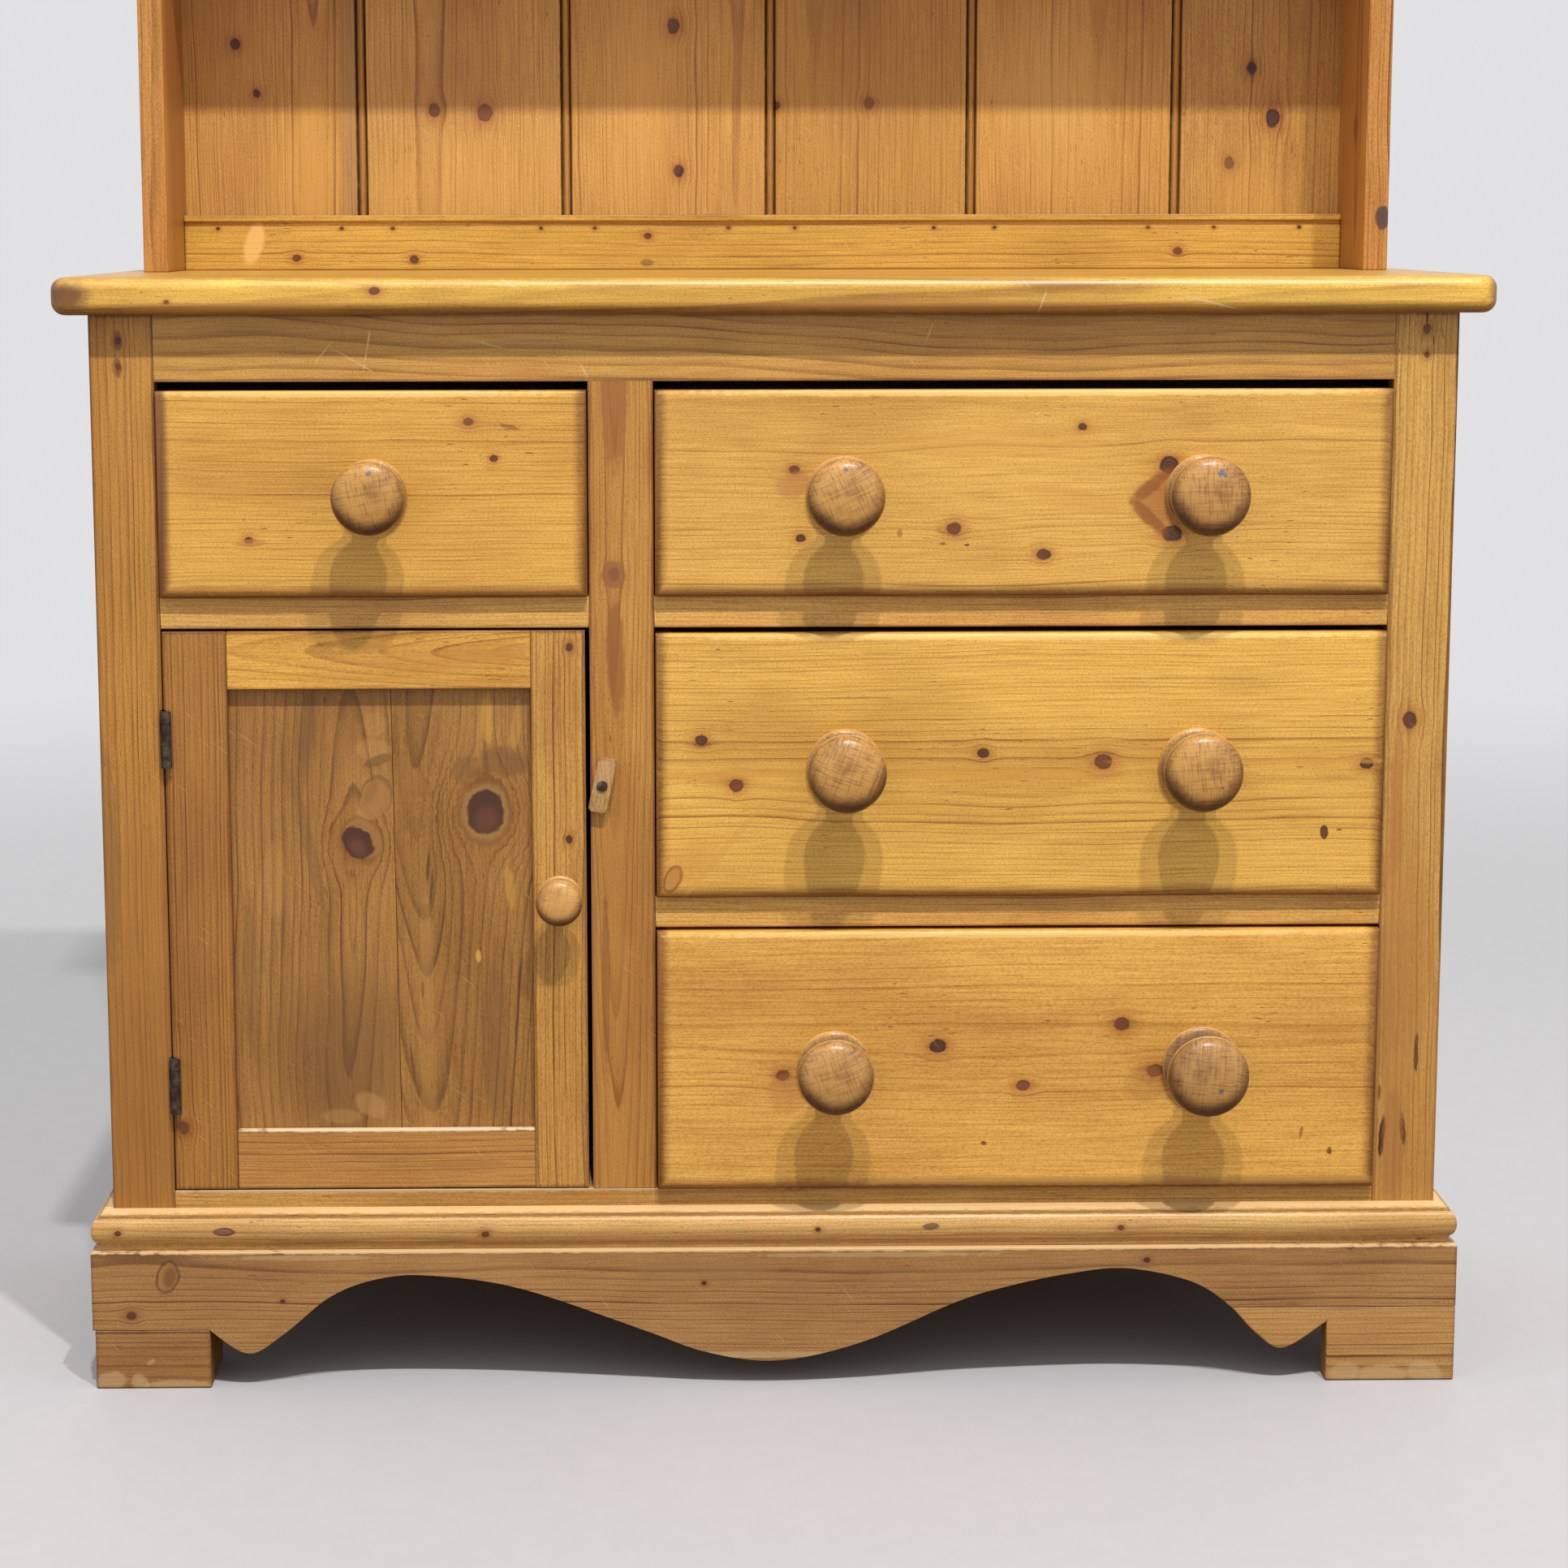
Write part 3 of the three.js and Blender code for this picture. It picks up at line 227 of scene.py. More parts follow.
near = bell(knot_group, away, 2.3)
push = calc(knot_group, "MULTIPLY", calc(knot_group, "MULTIPLY", across, near), has["Push"])
rim = bell(knot_group, calc(knot_group, "SUBTRACT", away, 0.93), 0.17)
rings = calc(knot_group, "SINE", calc(knot_group, "MULTIPLY", away, 19.0))
inside = calc(knot_group, "MULTIPLY_ADD", rings, 0.1, 0.86)
inside = calc(knot_group, "MULTIPLY", inside, fade(knot_group, away, 1.08, 0.9))
heart = calc(knot_group, "MAXIMUM", inside, rim)
for label, value in (
    ("Bend", calc(knot_group, "SUBTRACT", has["Bend"], push)),
    ("Heart", calc(knot_group, "MAXIMUM", has["Heart"], heart)),
    ("Halo", calc(knot_group, "MAXIMUM", has["Halo"], bell(knot_group, away, 1.9))),
):
    knot_group.links.new(value, gives[label])

# Pine as it is sawn: growth rings round a heart line, cut by the board's faces, with fibres, flecks,
# cloudy wax, and grime along the edges that is partly painted shade, darkening where boards meet.
pine_group, has, gives = new_group(
    "old_pine",
    (
        "Log", "Edge", "Bend", "Heart", "Halo", "Ring", "Wobble", "Taper", "Dirt and shade", "Band", "Late",
        "Early wood", "Late wood",
    ),
    ("Colour", "Roughness", "Height"),
)
grown = has["Log"]
parts = split(pine_group, grown)
slow = cloud(pine_group, grown, (2.6, 5, 5), 2)
quick = cloud(pine_group, grown, (12, 60, 60), 2)
sway = calc(pine_group, "MULTIPLY", calc(pine_group, "SUBTRACT", slow, 0.5), has["Wobble"])
tremble = calc(pine_group, "MULTIPLY_ADD", quick, 0.0016, -0.0008)
across = calc(pine_group, "ADD", calc(pine_group, "ADD", parts[1], has["Bend"]), sway)
across = calc(pine_group, "ADD", across, tremble)
deep = calc(pine_group, "ADD", parts[2], calc(pine_group, "MULTIPLY", parts[0], has["Taper"]))
deep = calc(pine_group, "ADD", deep, calc(pine_group, "MULTIPLY", sway, 0.6))
radius = length_of(pine_group, node(pine_group, "CombineXYZ", (across, deep, 0.0)))
counted = calc(pine_group, "DIVIDE", radius, has["Ring"])
growth = {"W": calc(pine_group, "MULTIPLY", counted, 0.23), "Scale": 1.0}
years = node(pine_group, "TexNoise", growth, noise_dimensions="1D")
counted = calc(pine_group, "ADD", counted, calc(pine_group, "MULTIPLY", years, 2.6))
season = calc(pine_group, "FRACT", counted)
year = calc(pine_group, "FLOOR", counted)
strength = node(pine_group, "TexWhiteNoise", {"W": year}, noise_dimensions="1D")
strength = calc(pine_group, "MULTIPLY_ADD", calc(pine_group, "POWER", strength, 1.6), 0.75, 0.25)
winter = fade(pine_group, season, 1.0, 0.94)
line = calc(pine_group, "MULTIPLY", fade(pine_group, season, 0.66, 0.9), winter)
ramp = calc(pine_group, "MULTIPLY", fade(pine_group, season, 0.2, 0.9), winter)
late = calc(pine_group, "MULTIPLY_ADD", ramp, 0.32, calc(pine_group, "MULTIPLY", line, 0.68))
late = calc(pine_group, "MULTIPLY", late, strength)
broken = cloud(pine_group, grown, (9, 40, 40), 3)
late = calc(pine_group, "MULTIPLY", late, fade(pine_group, broken, 0.25, 0.6, 0.4))
late = calc(pine_group, "MULTIPLY", late, has["Late"])
fibre = cloud(pine_group, grown, (22, 900, 900), 3)
grit = cloud(pine_group, grown, (520, 1100, 1100), 2)
cloudy = cloud(pine_group, grown, (4.5, 11, 11), 4)
flecks = fade(pine_group, cloud(pine_group, grown, (95, 700, 700), 1), 0.68, 0.74)
flocks = fade(pine_group, cloud(pine_group, grown, (9, 14, 14), 2), 0.5, 0.6)
flecks = calc(pine_group, "MULTIPLY", flecks, flocks)
dents = fade(pine_group, cloud(pine_group, grown, (190, 230, 230), 2, 0.4), 0.71, 0.75)
slant = node(pine_group, "VectorRotate", {"Vector": grown, "Angle": 0.9}, rotation_type="Z_AXIS")
scratches = fade(pine_group, cloud(pine_group, slant, (34, 1500, 40), 1), 0.75, 0.78)
# Grime along the edges, partly dirt and partly painted shade: it darkens the wood near every edge,
# where boards meet and where edges turn from the light.
edges = split(pine_group, has["Edge"])
edge = calc(pine_group, "MINIMUM", edges[0], edges[1])
teeth = cloud(pine_group, grown, (24, 330, 330), 3)
grime_and_shade = calc(pine_group, "ADD", edge, calc(pine_group, "MULTIPLY_ADD", teeth, 0.004, -0.002))
grime_and_shade = fade(pine_group, calc(pine_group, "DIVIDE", grime_and_shade, has["Band"]), 1.15, 0.1)
grime_and_shade = calc(pine_group, "MULTIPLY", grime_and_shade, has["Dirt and shade"])

colour = mixed(pine_group, late, has["Early wood"], has["Late wood"])
dull = darkened(pine_group, colour, (214, 200, 190))
colour = mixed(pine_group, fade(pine_group, cloudy, 0.38, 0.72, 0, 0.7), colour, dull)
streak = darkened(pine_group, colour, (232, 224, 214))
colour = mixed(pine_group, fade(pine_group, fibre, 0.35, 0.7), colour, streak)
grain = darkened(pine_group, colour, (226, 218, 208))
colour = mixed(pine_group, fade(pine_group, grit, 0.4, 0.72), colour, grain)
burnt = darkened(pine_group, colour, (200, 150, 118))
colour = mixed(pine_group, calc(pine_group, "MULTIPLY", has["Halo"], 0.8), colour, burnt)
colour = mixed(pine_group, calc(pine_group, "MULTIPLY", flecks, 0.7), colour, tone(96, 58, 28))
ages = fade(pine_group, cloud(pine_group, grown, (17, 17, 17), 1), 0.4, 0.6)
knot_wood = mixed(pine_group, ages, tone(56, 34, 31), tone(100, 56, 38))
colour = mixed(pine_group, has["Heart"], colour, knot_wood)
colour = mixed(pine_group, grime_and_shade, colour, darkened(pine_group, colour, (160, 138, 126)))
colour = mixed(pine_group, calc(pine_group, "MULTIPLY", scratches, 0.35), colour, tone(240, 204, 140))
pine_group.links.new(colour, gives["Colour"])
gloss = calc(pine_group, "MULTIPLY_ADD", cloudy, 0.22, 0.34)
gloss = calc(pine_group, "MULTIPLY_ADD", grime_and_shade, 0.14, gloss)
pine_group.links.new(calc(pine_group, "MULTIPLY_ADD", late, -0.06, gloss), gives["Roughness"])
height = calc(pine_group, "MULTIPLY_ADD", late, 0.35, calc(pine_group, "MULTIPLY", fibre, 0.35))
height = calc(pine_group, "MULTIPLY_ADD", dents, -0.9, height)
height = calc(pine_group, "MULTIPLY_ADD", flecks, -0.4, height)
height = calc(pine_group, "MULTIPLY_ADD", grit, 0.12, height)
height = calc(pine_group, "MULTIPLY_ADD", has["Heart"], -0.3, height)
pine_group.links.new(height, gives["Height"])

# A mark on the wood: a stain, a bruise, a peg or a bare patch, soft or sharp at its edge.
mark_group, has, gives = new_group(
    "pine_mark",
    (
        "Place", "Colour", "Along", "Across", "Long", "Wide", "Turn", "Tint", "Share", "Ragged",
        "Soft", "Deep", "Thick",
    ),
    ("Colour",),
)
parts = split(mark_group, has["Place"])
offsets = [
    calc(mark_group, "SUBTRACT", part, has[way])
    for part, way in zip(parts, ("Along", "Across", "Deep"))
]
flat = {"Vector": node(mark_group, "CombineXYZ", offsets), "Angle": has["Turn"]}
flat = node(mark_group, "VectorRotate", flat, rotation_type="Z_AXIS")
size = node(mark_group, "CombineXYZ", (has["Long"], has["Wide"], has["Thick"]))
away = length_of(mark_group, vector_calc(mark_group, "DIVIDE", flat, size))
rough = calc(mark_group, "DIVIDE", 0.0072, calc(mark_group, "ADD", has["Wide"], 0.004))
rough = calc(mark_group, "MULTIPLY", rough, calc(mark_group, "SUBTRACT", has["Ragged"], 0.5))
away = calc(mark_group, "ADD", away, rough)
outer = calc(mark_group, "ADD", has["Soft"], 1.0)
inner = calc(mark_group, "SUBTRACT", 1.0, has["Soft"])
cover = calc(mark_group, "MULTIPLY", fade(mark_group, away, outer, inner), has["Share"])
mark_group.links.new(mixed(mark_group, cover, has["Colour"], has["Tint"]), gives["Colour"])


def grouped(tree, group, values):
    """Adds a node group to a material with its inputs in order, and gives its outputs."""
    made = tree.nodes.new("ShaderNodeGroup")
    made.node_tree = group
    for socket, value in zip(made.inputs, values):
        feed(tree, socket, value)
    return made.outputs


# A knot's push, and a mark's softness, depth and half thickness, where a board's list gives none.
usual_push = 0.9
usual_softness, no_depth, any_thickness = 0.24, 0, 1e5


def pine(
    name, box, grain, heart, ring, early, late, knots=(), marks=(), wobble=14, taper=0.0, dirt=0.7,
    band=3, clear_top=0, dark=1.0, gloss=0.12,
):
    """Waxed pine for one board. grain names the axes along it, across it and through it; heart is
    where the tree's middle lies: along and across, from the board's middle, and through, from the
    face where that axis is least. Knots are (along, across, radius, push) and marks (along, across,
    half length, half width, turn, tint, share), and if wanted how soft the edge is, the depth and the
    half thickness. The rings stray by wobble, and taper is how fast the heart runs out through the
    board. Grime lies along the edges, and with it painted shade, where boards meet and edges turn from
    the light: dirt sets its strength and band its width, and clear_top moves it off the upper
    edge, which the light falls on. dark is the strength of the late wood, gloss that of the wax. All
    in millimetres and degrees."""
    low, high = box
    order = ["xyz".index(letter) for letter in grain]
    middle = [(low[i] + high[i]) / 2 for i in order]
    middle[2] = low[order[2]]
    material, tree = new_material(name)
    spot = split(tree, node(tree, "TexCoord", out="Object"))
    place = node(tree, "CombineXYZ", [spot[i] for i in order])
    log = [middle[i] + heart[i] / 1000 for i in range(3)]
    own = vector_calc(tree, "SUBTRACT", place, log)
    least = [low[i] for i in order]
    most = [high[i] for i in order]
    most[1] += clear_top / 1000
    from_least = vector_calc(tree, "SUBTRACT", place, least)
    edge = vector_calc(tree, "MINIMUM", from_least, vector_calc(tree, "SUBTRACT", most, place))
    ties = [0.0, 0.0, 0.0]
    ragged = cloud(tree, place, (130, 130, 130), 2) if knots or marks else 0.0
    for along, across, size, *push in knots:
        sizes = (along / 1000, across / 1000, size / 1000)
        ties = grouped(tree, knot_group, (place, *ties, *sizes, *(push or [usual_push]), ragged))
    sizes = (ring / 1000, wobble / 1000, taper, dirt, band / 1000, dark)
    wood = grouped(tree, pine_group, (own, edge, *ties, *sizes, tone(*early), tone(*late)))
    colour = wood["Colour"]
    for along, across, long, wide, turn, tint, share, *more in marks:
        soft, deep, thick = more + [usual_softness, no_depth, any_thickness][len(more) :]
        sizes = (along / 1000, across / 1000, long / 1000, wide / 1000, radians(-turn))
        values = (place, colour, *sizes, tone(*tint), share, ragged, soft, deep / 1000, thick / 1000)
        colour = grouped(tree, mark_group, values)[0]
    bump = node(tree, "Bump", {"Strength": 0.6, "Distance": 0.00035, "Height": wood["Height"]})
    feeds = {
        "Base Color": colour,
        "Roughness": wood["Roughness"],
        "Normal": bump,
        "Specular IOR Level": 0.3,
        "Coat Weight": gloss,
        "Coat Roughness": 0.3,
    }
    finish_material(tree, node(tree, "BsdfPrincipled", feeds))
    return material


def only(piece):
    bpy.ops.object.select_all(action="DESELECT")
    piece.select_set(True)
    bpy.context.view_layer.objects.active = piece


def body_of(name):
    return frame["nodes"][name]["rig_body"]


def paint(piece, material):
    piece.data.materials.clear()
    piece.data.materials.append(material)


def fix(piece, source, material):
    paint(piece, material)
    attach(piece, body_of(source))
    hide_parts(source)


def pick_edges(piece, wanted):
    """Selects the edges of a piece in edit mode whose two ends both answer to wanted."""
    bpy.ops.mesh.select_mode(type="EDGE")
    bpy.ops.mesh.select_all(action="DESELECT")
    shape = bmesh.from_edit_mesh(piece.data)
    for edge in shape.edges:
        if wanted(edge.verts[0].co, edge.verts[1].co):
            edge.select_set(True)
    bmesh.update_edit_mesh(piece.data)


def smoothed(piece):
    """Smooth shading over worn edges that leaves the flat faces flat."""
    bpy.ops.object.shade_smooth_by_angle(angle=radians(50))
    even = piece.modifiers.new("even", "WEIGHTED_NORMAL")
    even.keep_sharp = True
    bpy.ops.object.modifier_apply(modifier="even")


same_point, same_face = 0.00001, 0.00002
flat_enough, least_arris = radians(0.5), radians(35)


def dressed(source, worn=1.2, sides="xyz"):
    """The board as it was sawn, with its outer arrises worn round."""
    piece = bpy.data.objects.new(source + "_wood", frame["nodes"][source].data.copy())
    piece.data.name = piece.name
    bpy.context.collection.objects.link(piece)
    only(piece)
    low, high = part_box(source)
    bpy.ops.object.mode_set(mode="EDIT")
    bpy.ops.mesh.select_all(action="SELECT")
    bpy.ops.mesh.remove_doubles(threshold=same_point)
    bpy.ops.mesh.customdata_custom_splitnormals_clear()
    bpy.ops.mesh.dissolve_limited(angle_limit=flat_enough)
    bpy.ops.mesh.select_all(action="DESELECT")
    shape = bmesh.from_edit_mesh(piece.data)
    for edge in shape.edges:
        if len(edge.link_faces) != 2 or edge.calc_face_angle_signed() < least_arris:
            continue
        ends = [vert.co for vert in edge.verts]
        for i in ["xyz".index(letter) for letter in sides]:
            if any(all(abs(end[i] - limit[i]) < same_face for end in ends) for limit in (low, high)):
                edge.select_set(True)
    shape.select_flush_mode()
    bmesh.update_edit_mesh(piece.data)
    if worn and any(edge.select for edge in shape.edges):
        bpy.ops.mesh.bevel(offset=worn / 1000, segments=3, affect="EDGES", clamp_overlap=True)
    bpy.ops.object.mode_set(mode="OBJECT")
    smoothed(piece)
    return piece


def board(
    source, grain, heart, ring, early, late, knots=(), slot="amber_pine", worn=1.2, sides="xyz", **look
):
    piece = dressed(source, worn, sides)
    wood = pine(source + "_pine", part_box(source), grain, heart, ring, early, late, knots, **look)
    fix(piece, source, wood)


shortest_seam, on_the_cut = 0.05, 0.0001


def sawn(source, number, cuts, worn=0.5):
    """One of the upright boards that a CAD piece stands for: what its one or two cuts leave of it."""
    piece = dressed(source, 0)
    piece.name = piece.data.name = f"{source}_{number}"
    only(piece)
    bpy.ops.object.mode_set(mode="EDIT")
    for place, away in cuts:
        bpy.ops.mesh.select_all(action="SELECT")
        bpy.ops.mesh.bisect(plane_co=place, plane_no=away, use_fill=True, clear_outer=True)

    def seam_arris(a, b):
        offsets = [abs((a - place).dot(away.normalized())) for place, away in cuts]
        return abs(a.z - b.z) > shortest_seam and any(offset < on_the_cut for offset in offsets)

    if worn:
        pick_edges(piece, seam_arris)
        bpy.ops.mesh.bevel(offset=worn / 1000, segments=2, affect="EDGES")
    bpy.ops.object.mode_set(mode="OBJECT")
    bpy.ops.object.shade_smooth_by_angle(angle=radians(40))
    return piece


dusty_early, dusty_late = (185, 139, 85), (104, 68, 38)
# The second of these is a near black brown: for holes, cracks and soot, and under the moulding's roll
# as painted shade.
bare, soot_and_shade = (214, 182, 134), (70, 42, 26)
board(
    "plinth_front", "xzy", (120, 40, 30), 3.2, dusty_early, dusty_late,
    [(-520, 60.7, 3), (-398, 72, 1.5, 0), (-58, 85, 1.5, 0), (420, 60, 2), (300, 102, 2)],
    "dusty_pine", 1.5, dirt=0.35,
    marks=(
        (-489.8, 92.3, 13.5, 9.5, 70, (92, 58, 32), 0.8, 0.12),
        (-489.8, 92.3, 11.6, 7.6, 70, (164, 116, 66), 0.9, 0.12),
        (-488, 92.3, 9, 5, 74, (116, 74, 40), 0.75, 0.4),
        (464.9, 116.7, 4.5, 7, 0, soot_and_shade, 0.7),
        (464.9, 117.5, 3, 5.4, 0, (196, 150, 96), 0.9),
        (-320, 79, 9, 2, 40, bare, 0.6),
        (-10, 25, 70, 2.5, 0, bare, 0.35),
        (-60, 96, 60, 8, 0, (150, 110, 68), 0.5),
        # A pale line along the top arris under the moulding: a painted highlight, where the arris
        # catches the light.
        (0, 112.6, 620, 1.5, 0, (236, 200, 142), 0.75),
        (-380, 108, 60, 2, 0, bare, 0.3),
        (80, 108, 90, 2, 0, bare, 0.3),
    ),
)
board(
    "left_foot_block", "xzy", (0, -30, 60), 3, (184, 136, 81), dusty_late, (),
    "dusty_pine", 1.5, dirt=0.35,
    marks=(
        (-515, 46.5, 90, 1, 0, soot_and_shade, 0.6),
        (-538, 6, 12, 8, 10, bare, 0.4),
        (-514, 3, 7, 9, 20, bare, 0.4),
        (-484, 2, 26, 5, 0, bare, 0.4),
        (-505, 22, 4, 2, 30, bare, 0.3),
    ),
)
board(
    "right_foot_block", "xzy", (-60, -30, 40), 3, (202, 155, 91), dusty_late, (),
    "dusty_pine", 1.5, dirt=0.35,
    marks=(
        (462, 7, 12, 8, 15, bare, 0.35),
        (492, 5, 22, 7, 0, bare, 0.35),
        (528, 6, 14, 10, -12, bare, 0.35),
    ),
)
for end in ("plinth_left_end", "plinth_right_end"):
    board(end, "yzx", (0, 30, 30), 3.4, dusty_early, dusty_late, (), "dusty_pine", 1.5, dirt=0.5)
roll_knots = [(-529.2, 129, 2), (-234, 126.5, 2.5), (34, 129, 1.6), (278.6, 129, 1.8)]
board(
    "plinth_moulding", "xzy", (0, 60, 70), 3, (224, 179, 108), (172, 122, 66), roll_knots,
    "dusty_pine", 0.8, "z", dirt=0.3, band=2, gloss=0.3,
    marks=(
        (125, 131, 7, 2.8, 0, (96, 60, 46), 0.8, 0.15),
        (-445, 130, 9.5, 3.4, 0, (78, 46, 34), 0.9, 0.15),
        (-445, 130, 7.5, 2.2, 0, (138, 94, 72), 0.8, 0.2),
        # Along the moulding: a pale strip on its top, a painted highlight where the slope catches the
        # light; a fine dark line below it, painted shade in the crease over the roll; and a dark line
        # along its foot, painted shade under the roll, with dust.
        (0, 145.5, 900, 3, 0, (238, 204, 150), 0.5),
        (0, 140.6, 900, 0.8, 0, (110, 70, 42), 0.7),
        (0, 117, 560, 2, 0, soot_and_shade, 0.35),
    ),
)

# The carcass: two end panels of upright boards, waxed outside, with a partition, a floor and a boarded
# back of rough pine between them.
amber_early, amber_late = (208, 148, 70), (146, 88, 36)
for end in ("left_end_panel", "right_end_panel"):
    board(end, "zyx", (100, 60, 40), 4, amber_early, amber_late, wobble=20)
raw_tones = (212, 172, 120), (168, 120, 70)
for hidden, grain in (
    ("centre_partition", "zyx"),
    ("base_floor", "xyz"),
    ("base_back_boards", "zxy"),
):
    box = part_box(hidden)
    wood = pine(hidden + "_pine", box, grain, (50, 40, 30), 4, *raw_tones, dirt=0.4, gloss=0.0)
    paint(frame["nodes"][hidden], wood)

# The front frame: stiles and rails of one thickness, tenoned together and flush at the front. The
# rails under the drawers carry the dust boards.
peg_stain, crack = (90, 46, 30), (74, 38, 22)
board(
    "left_front_stile", "zxy", (300, -70, 60), 3.9, (200, 144, 65), (104, 60, 24),
    [(841, -511.5, 2.2), (820.9, -512, 2)], wobble=16, dark=1.2,
    marks=(
        # Painted shade: the lower part of the stile darkened, as the light falls off towards the
        # floor.
        (240, -510, 230, 60, 0, (148, 96, 46), 0.45),
        (430, -528, 90, 6, 0, (120, 86, 50), 0.4),
        (841, -511.5, 9, 3, 0, peg_stain, 0.6),
        (820.9, -512, 9, 2.5, 0, peg_stain, 0.6),
    ),
)
board(
    "right_front_stile", "zxy", (100, 60, 45), 3.8, (217, 169, 87), (128, 76, 34),
    [(848.3, 509, 3), (828.1, 509.6, 2), (539.7, 504.3, 5)], wobble=16,
    marks=(
        # Painted shade: the lower part of the stile darkened, as the light falls off towards the
        # floor.
        (220, 500, 200, 50, 0, (166, 110, 54), 0.4),
        (200, 491, 18, 2.4, 4, crack, 1.0),
        (204, 508, 14, 2.4, -6, crack, 1.0),
        (268, 517, 16, 1.8, 0, crack, 0.9),
        (236, 488, 8, 1.2, 0, (92, 50, 28), 0.7),
        (190, 500, 50, 9, 0, (160, 104, 54), 0.5),
        (470, 495, 60, 5, 0, (170, 104, 48), 0.5),
        (360, 503, 170, 16, 0, (170, 112, 54), 0.35),
        (858, 509, 8, 1, 0, soot_and_shade, 0.8),
    ),
)
board(
    "centre_stile", "zxy", (60, -6, 10), 3.6, (205, 150, 72), (148, 90, 36), [(657.5, -127.5, 4, 0.5)],
    wobble=18, taper=0.03,
    marks=(
        # Painted shade: the lower part of the stile darkened, as the light falls off towards the
        # floor.
        (260, -121, 220, 40, 0, (160, 104, 50), 0.3),
        (330, -136, 70, 3, 0, (128, 74, 34), 0.5),
        (657.5, -127.5, 11.5, 9.5, 8, (146, 96, 56), 0.75, 0.12),
        (798, -126, 62, 10, 1, (150, 94, 44), 0.75),
        (592, -126.5, 46, 7, -1, (146, 92, 42), 0.8),
    ),
)
board(
    "top_front_rail", "xzy", (200, 46, 20), 8, (212, 161, 81), (128, 80, 42),
    wobble=44, taper=0.03, dark=0.9,
    marks=(
        (-318, 836, 14, 0.7, 80, bare, 0.7),
        (-352, 832, 9, 0.6, 50, bare, 0.6),
        (-330, 826, 17, 0.6, -30, bare, 0.5),
        (-225, 838, 14, 0.6, -15, bare, 0.5),
        (-150, 818, 5, 0.8, -60, bare, 0.6),
        (120, 846, 8, 0.6, 70, bare, 0.5),
    ),
)
board(
    "bottom_front_rail", "xzy", (0, -30, 36), 3, (207, 159, 85), (148, 101, 50),
    marks=((-300, 159, 300, 1.6, 0, bare, 0.6), (-141, 154, 22, 4, 0, (178, 120, 50), 0.5)),
)
for deck in ("small_drawer_deck", "upper_drawer_deck", "lower_drawer_deck"):
    board(deck, "xzy", (0, 40, 24), 3, (232, 180, 95), (160, 108, 54), sides="y", dirt=0.5)

# The worktop: one thick board with rounded edges and front corners, waxed until it shines. It hangs
# over the carcass at the front and at both ends.
low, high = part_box("worktop")
bpy.ops.object.select_all(action="DESELECT")
bpy.ops.mesh.primitive_cube_add(size=1)
worktop = bpy.context.object
worktop.name = "worktop_wood"
size, middle = high - low, (low + high) / 2
bpy.ops.object.mode_set(mode="EDIT")
bpy.ops.transform.resize(value=size)
bpy.ops.transform.translate(value=middle)


def front_corner(a, b):
    return abs(a.x - b.x) < same_point and abs(a.y - b.y) < same_point and a.y < middle.y


def rim_edge(a, b):
    return abs(a.z - b.z) < same_point and min(a.y, b.y) < middle.y


corner_round, edge_round = 0.016, 0.010
pick_edges(worktop, front_corner)
bpy.ops.mesh.bevel(offset=corner_round, segments=8, affect="EDGES")
pick_edges(worktop, rim_edge)
bpy.ops.mesh.bevel(offset=edge_round, segments=8, affect="EDGES")
bpy.ops.object.mode_set(mode="OBJECT")
smoothed(worktop)
front = low.y * 1000
golden = pine(
    "worktop_pine", (low, high), "xzy", (150, -46, 190), 4.6, (238, 191, 82), (180, 130, 54),
    [(-309.9, 879.6, 3), (-470, 871, 1.5, 0)],
    wobble=24, taper=0.02, dirt=1.0, band=10, clear_top=30, gloss=0.4,
    marks=(
        (0, 892, 900, 4.5, 0, (164, 118, 52), 0.5),
        (-546, 876, 15, 10, 0, (108, 62, 36), 0.9, 0.6, front, 24),
        (-420, 868, 90, 4, 1, (190, 130, 64), 0.5, 0.6),
        (140, 867, 200, 4, 0, (194, 134, 64), 0.5, 0.6),
        (206, 871, 8, 0.7, 70, bare, 0.8),
        (335, 870, 24, 0.7, -14, bare, 0.8),
        (-205, 884, 12, 0.8, -30, bare, 0.6, 0.24, front, 9),
    ),
)
fix(worktop, "worktop", golden)

# The drawers: fronts of yellow pine with softly rounded edges, dovetailed to plain sides, with a thin
# bottom in a groove.
honey_early, honey_late = (235, 185, 91), (180, 120, 53)
# The last of these is a painted highlight: a pale line along the top edge of a front, where that edge
# catches the light.
stain, bruise, top_edge_highlight = (186, 122, 66), (110, 66, 36), (240, 202, 126)
# The drawer fronts: grime with painted shade along their ends and bottom edges, and none on the top
# edge, which the light falls on.
front_settings_with_shade = {"slot": "honey_pine", "sides": "y", "dirt": 1, "band": 11, "clear_top": 30}
board(
    "small_drawer_front", "xzy", (-60, -150, 30), 3.6, (232, 179, 83), honey_late,
    [(-239.5, 778.1, 3), (-220.2, 749.6, 2.5), (-412.4, 685.9, 2.5)], wobble=22, **front_settings_with_shade,
    marks=(
        (-207, 774, 9, 1.8, -14, bruise, 0.6),
        (-233, 776, 18, 5, -10, stain, 0.25),
        (-410, 684, 12, 3, 0, stain, 0.6),
        # A painted highlight along the top edge.
        (-340, 800, 150, 3, 0, (238, 198, 122), 0.5),
        # A dark band down the left end: painted shade on the rounded end, which turns away from the
        # lamps.
        (-481, 740, 6, 120, 0, (122, 76, 44), 0.75, 0.5),
    ),
)
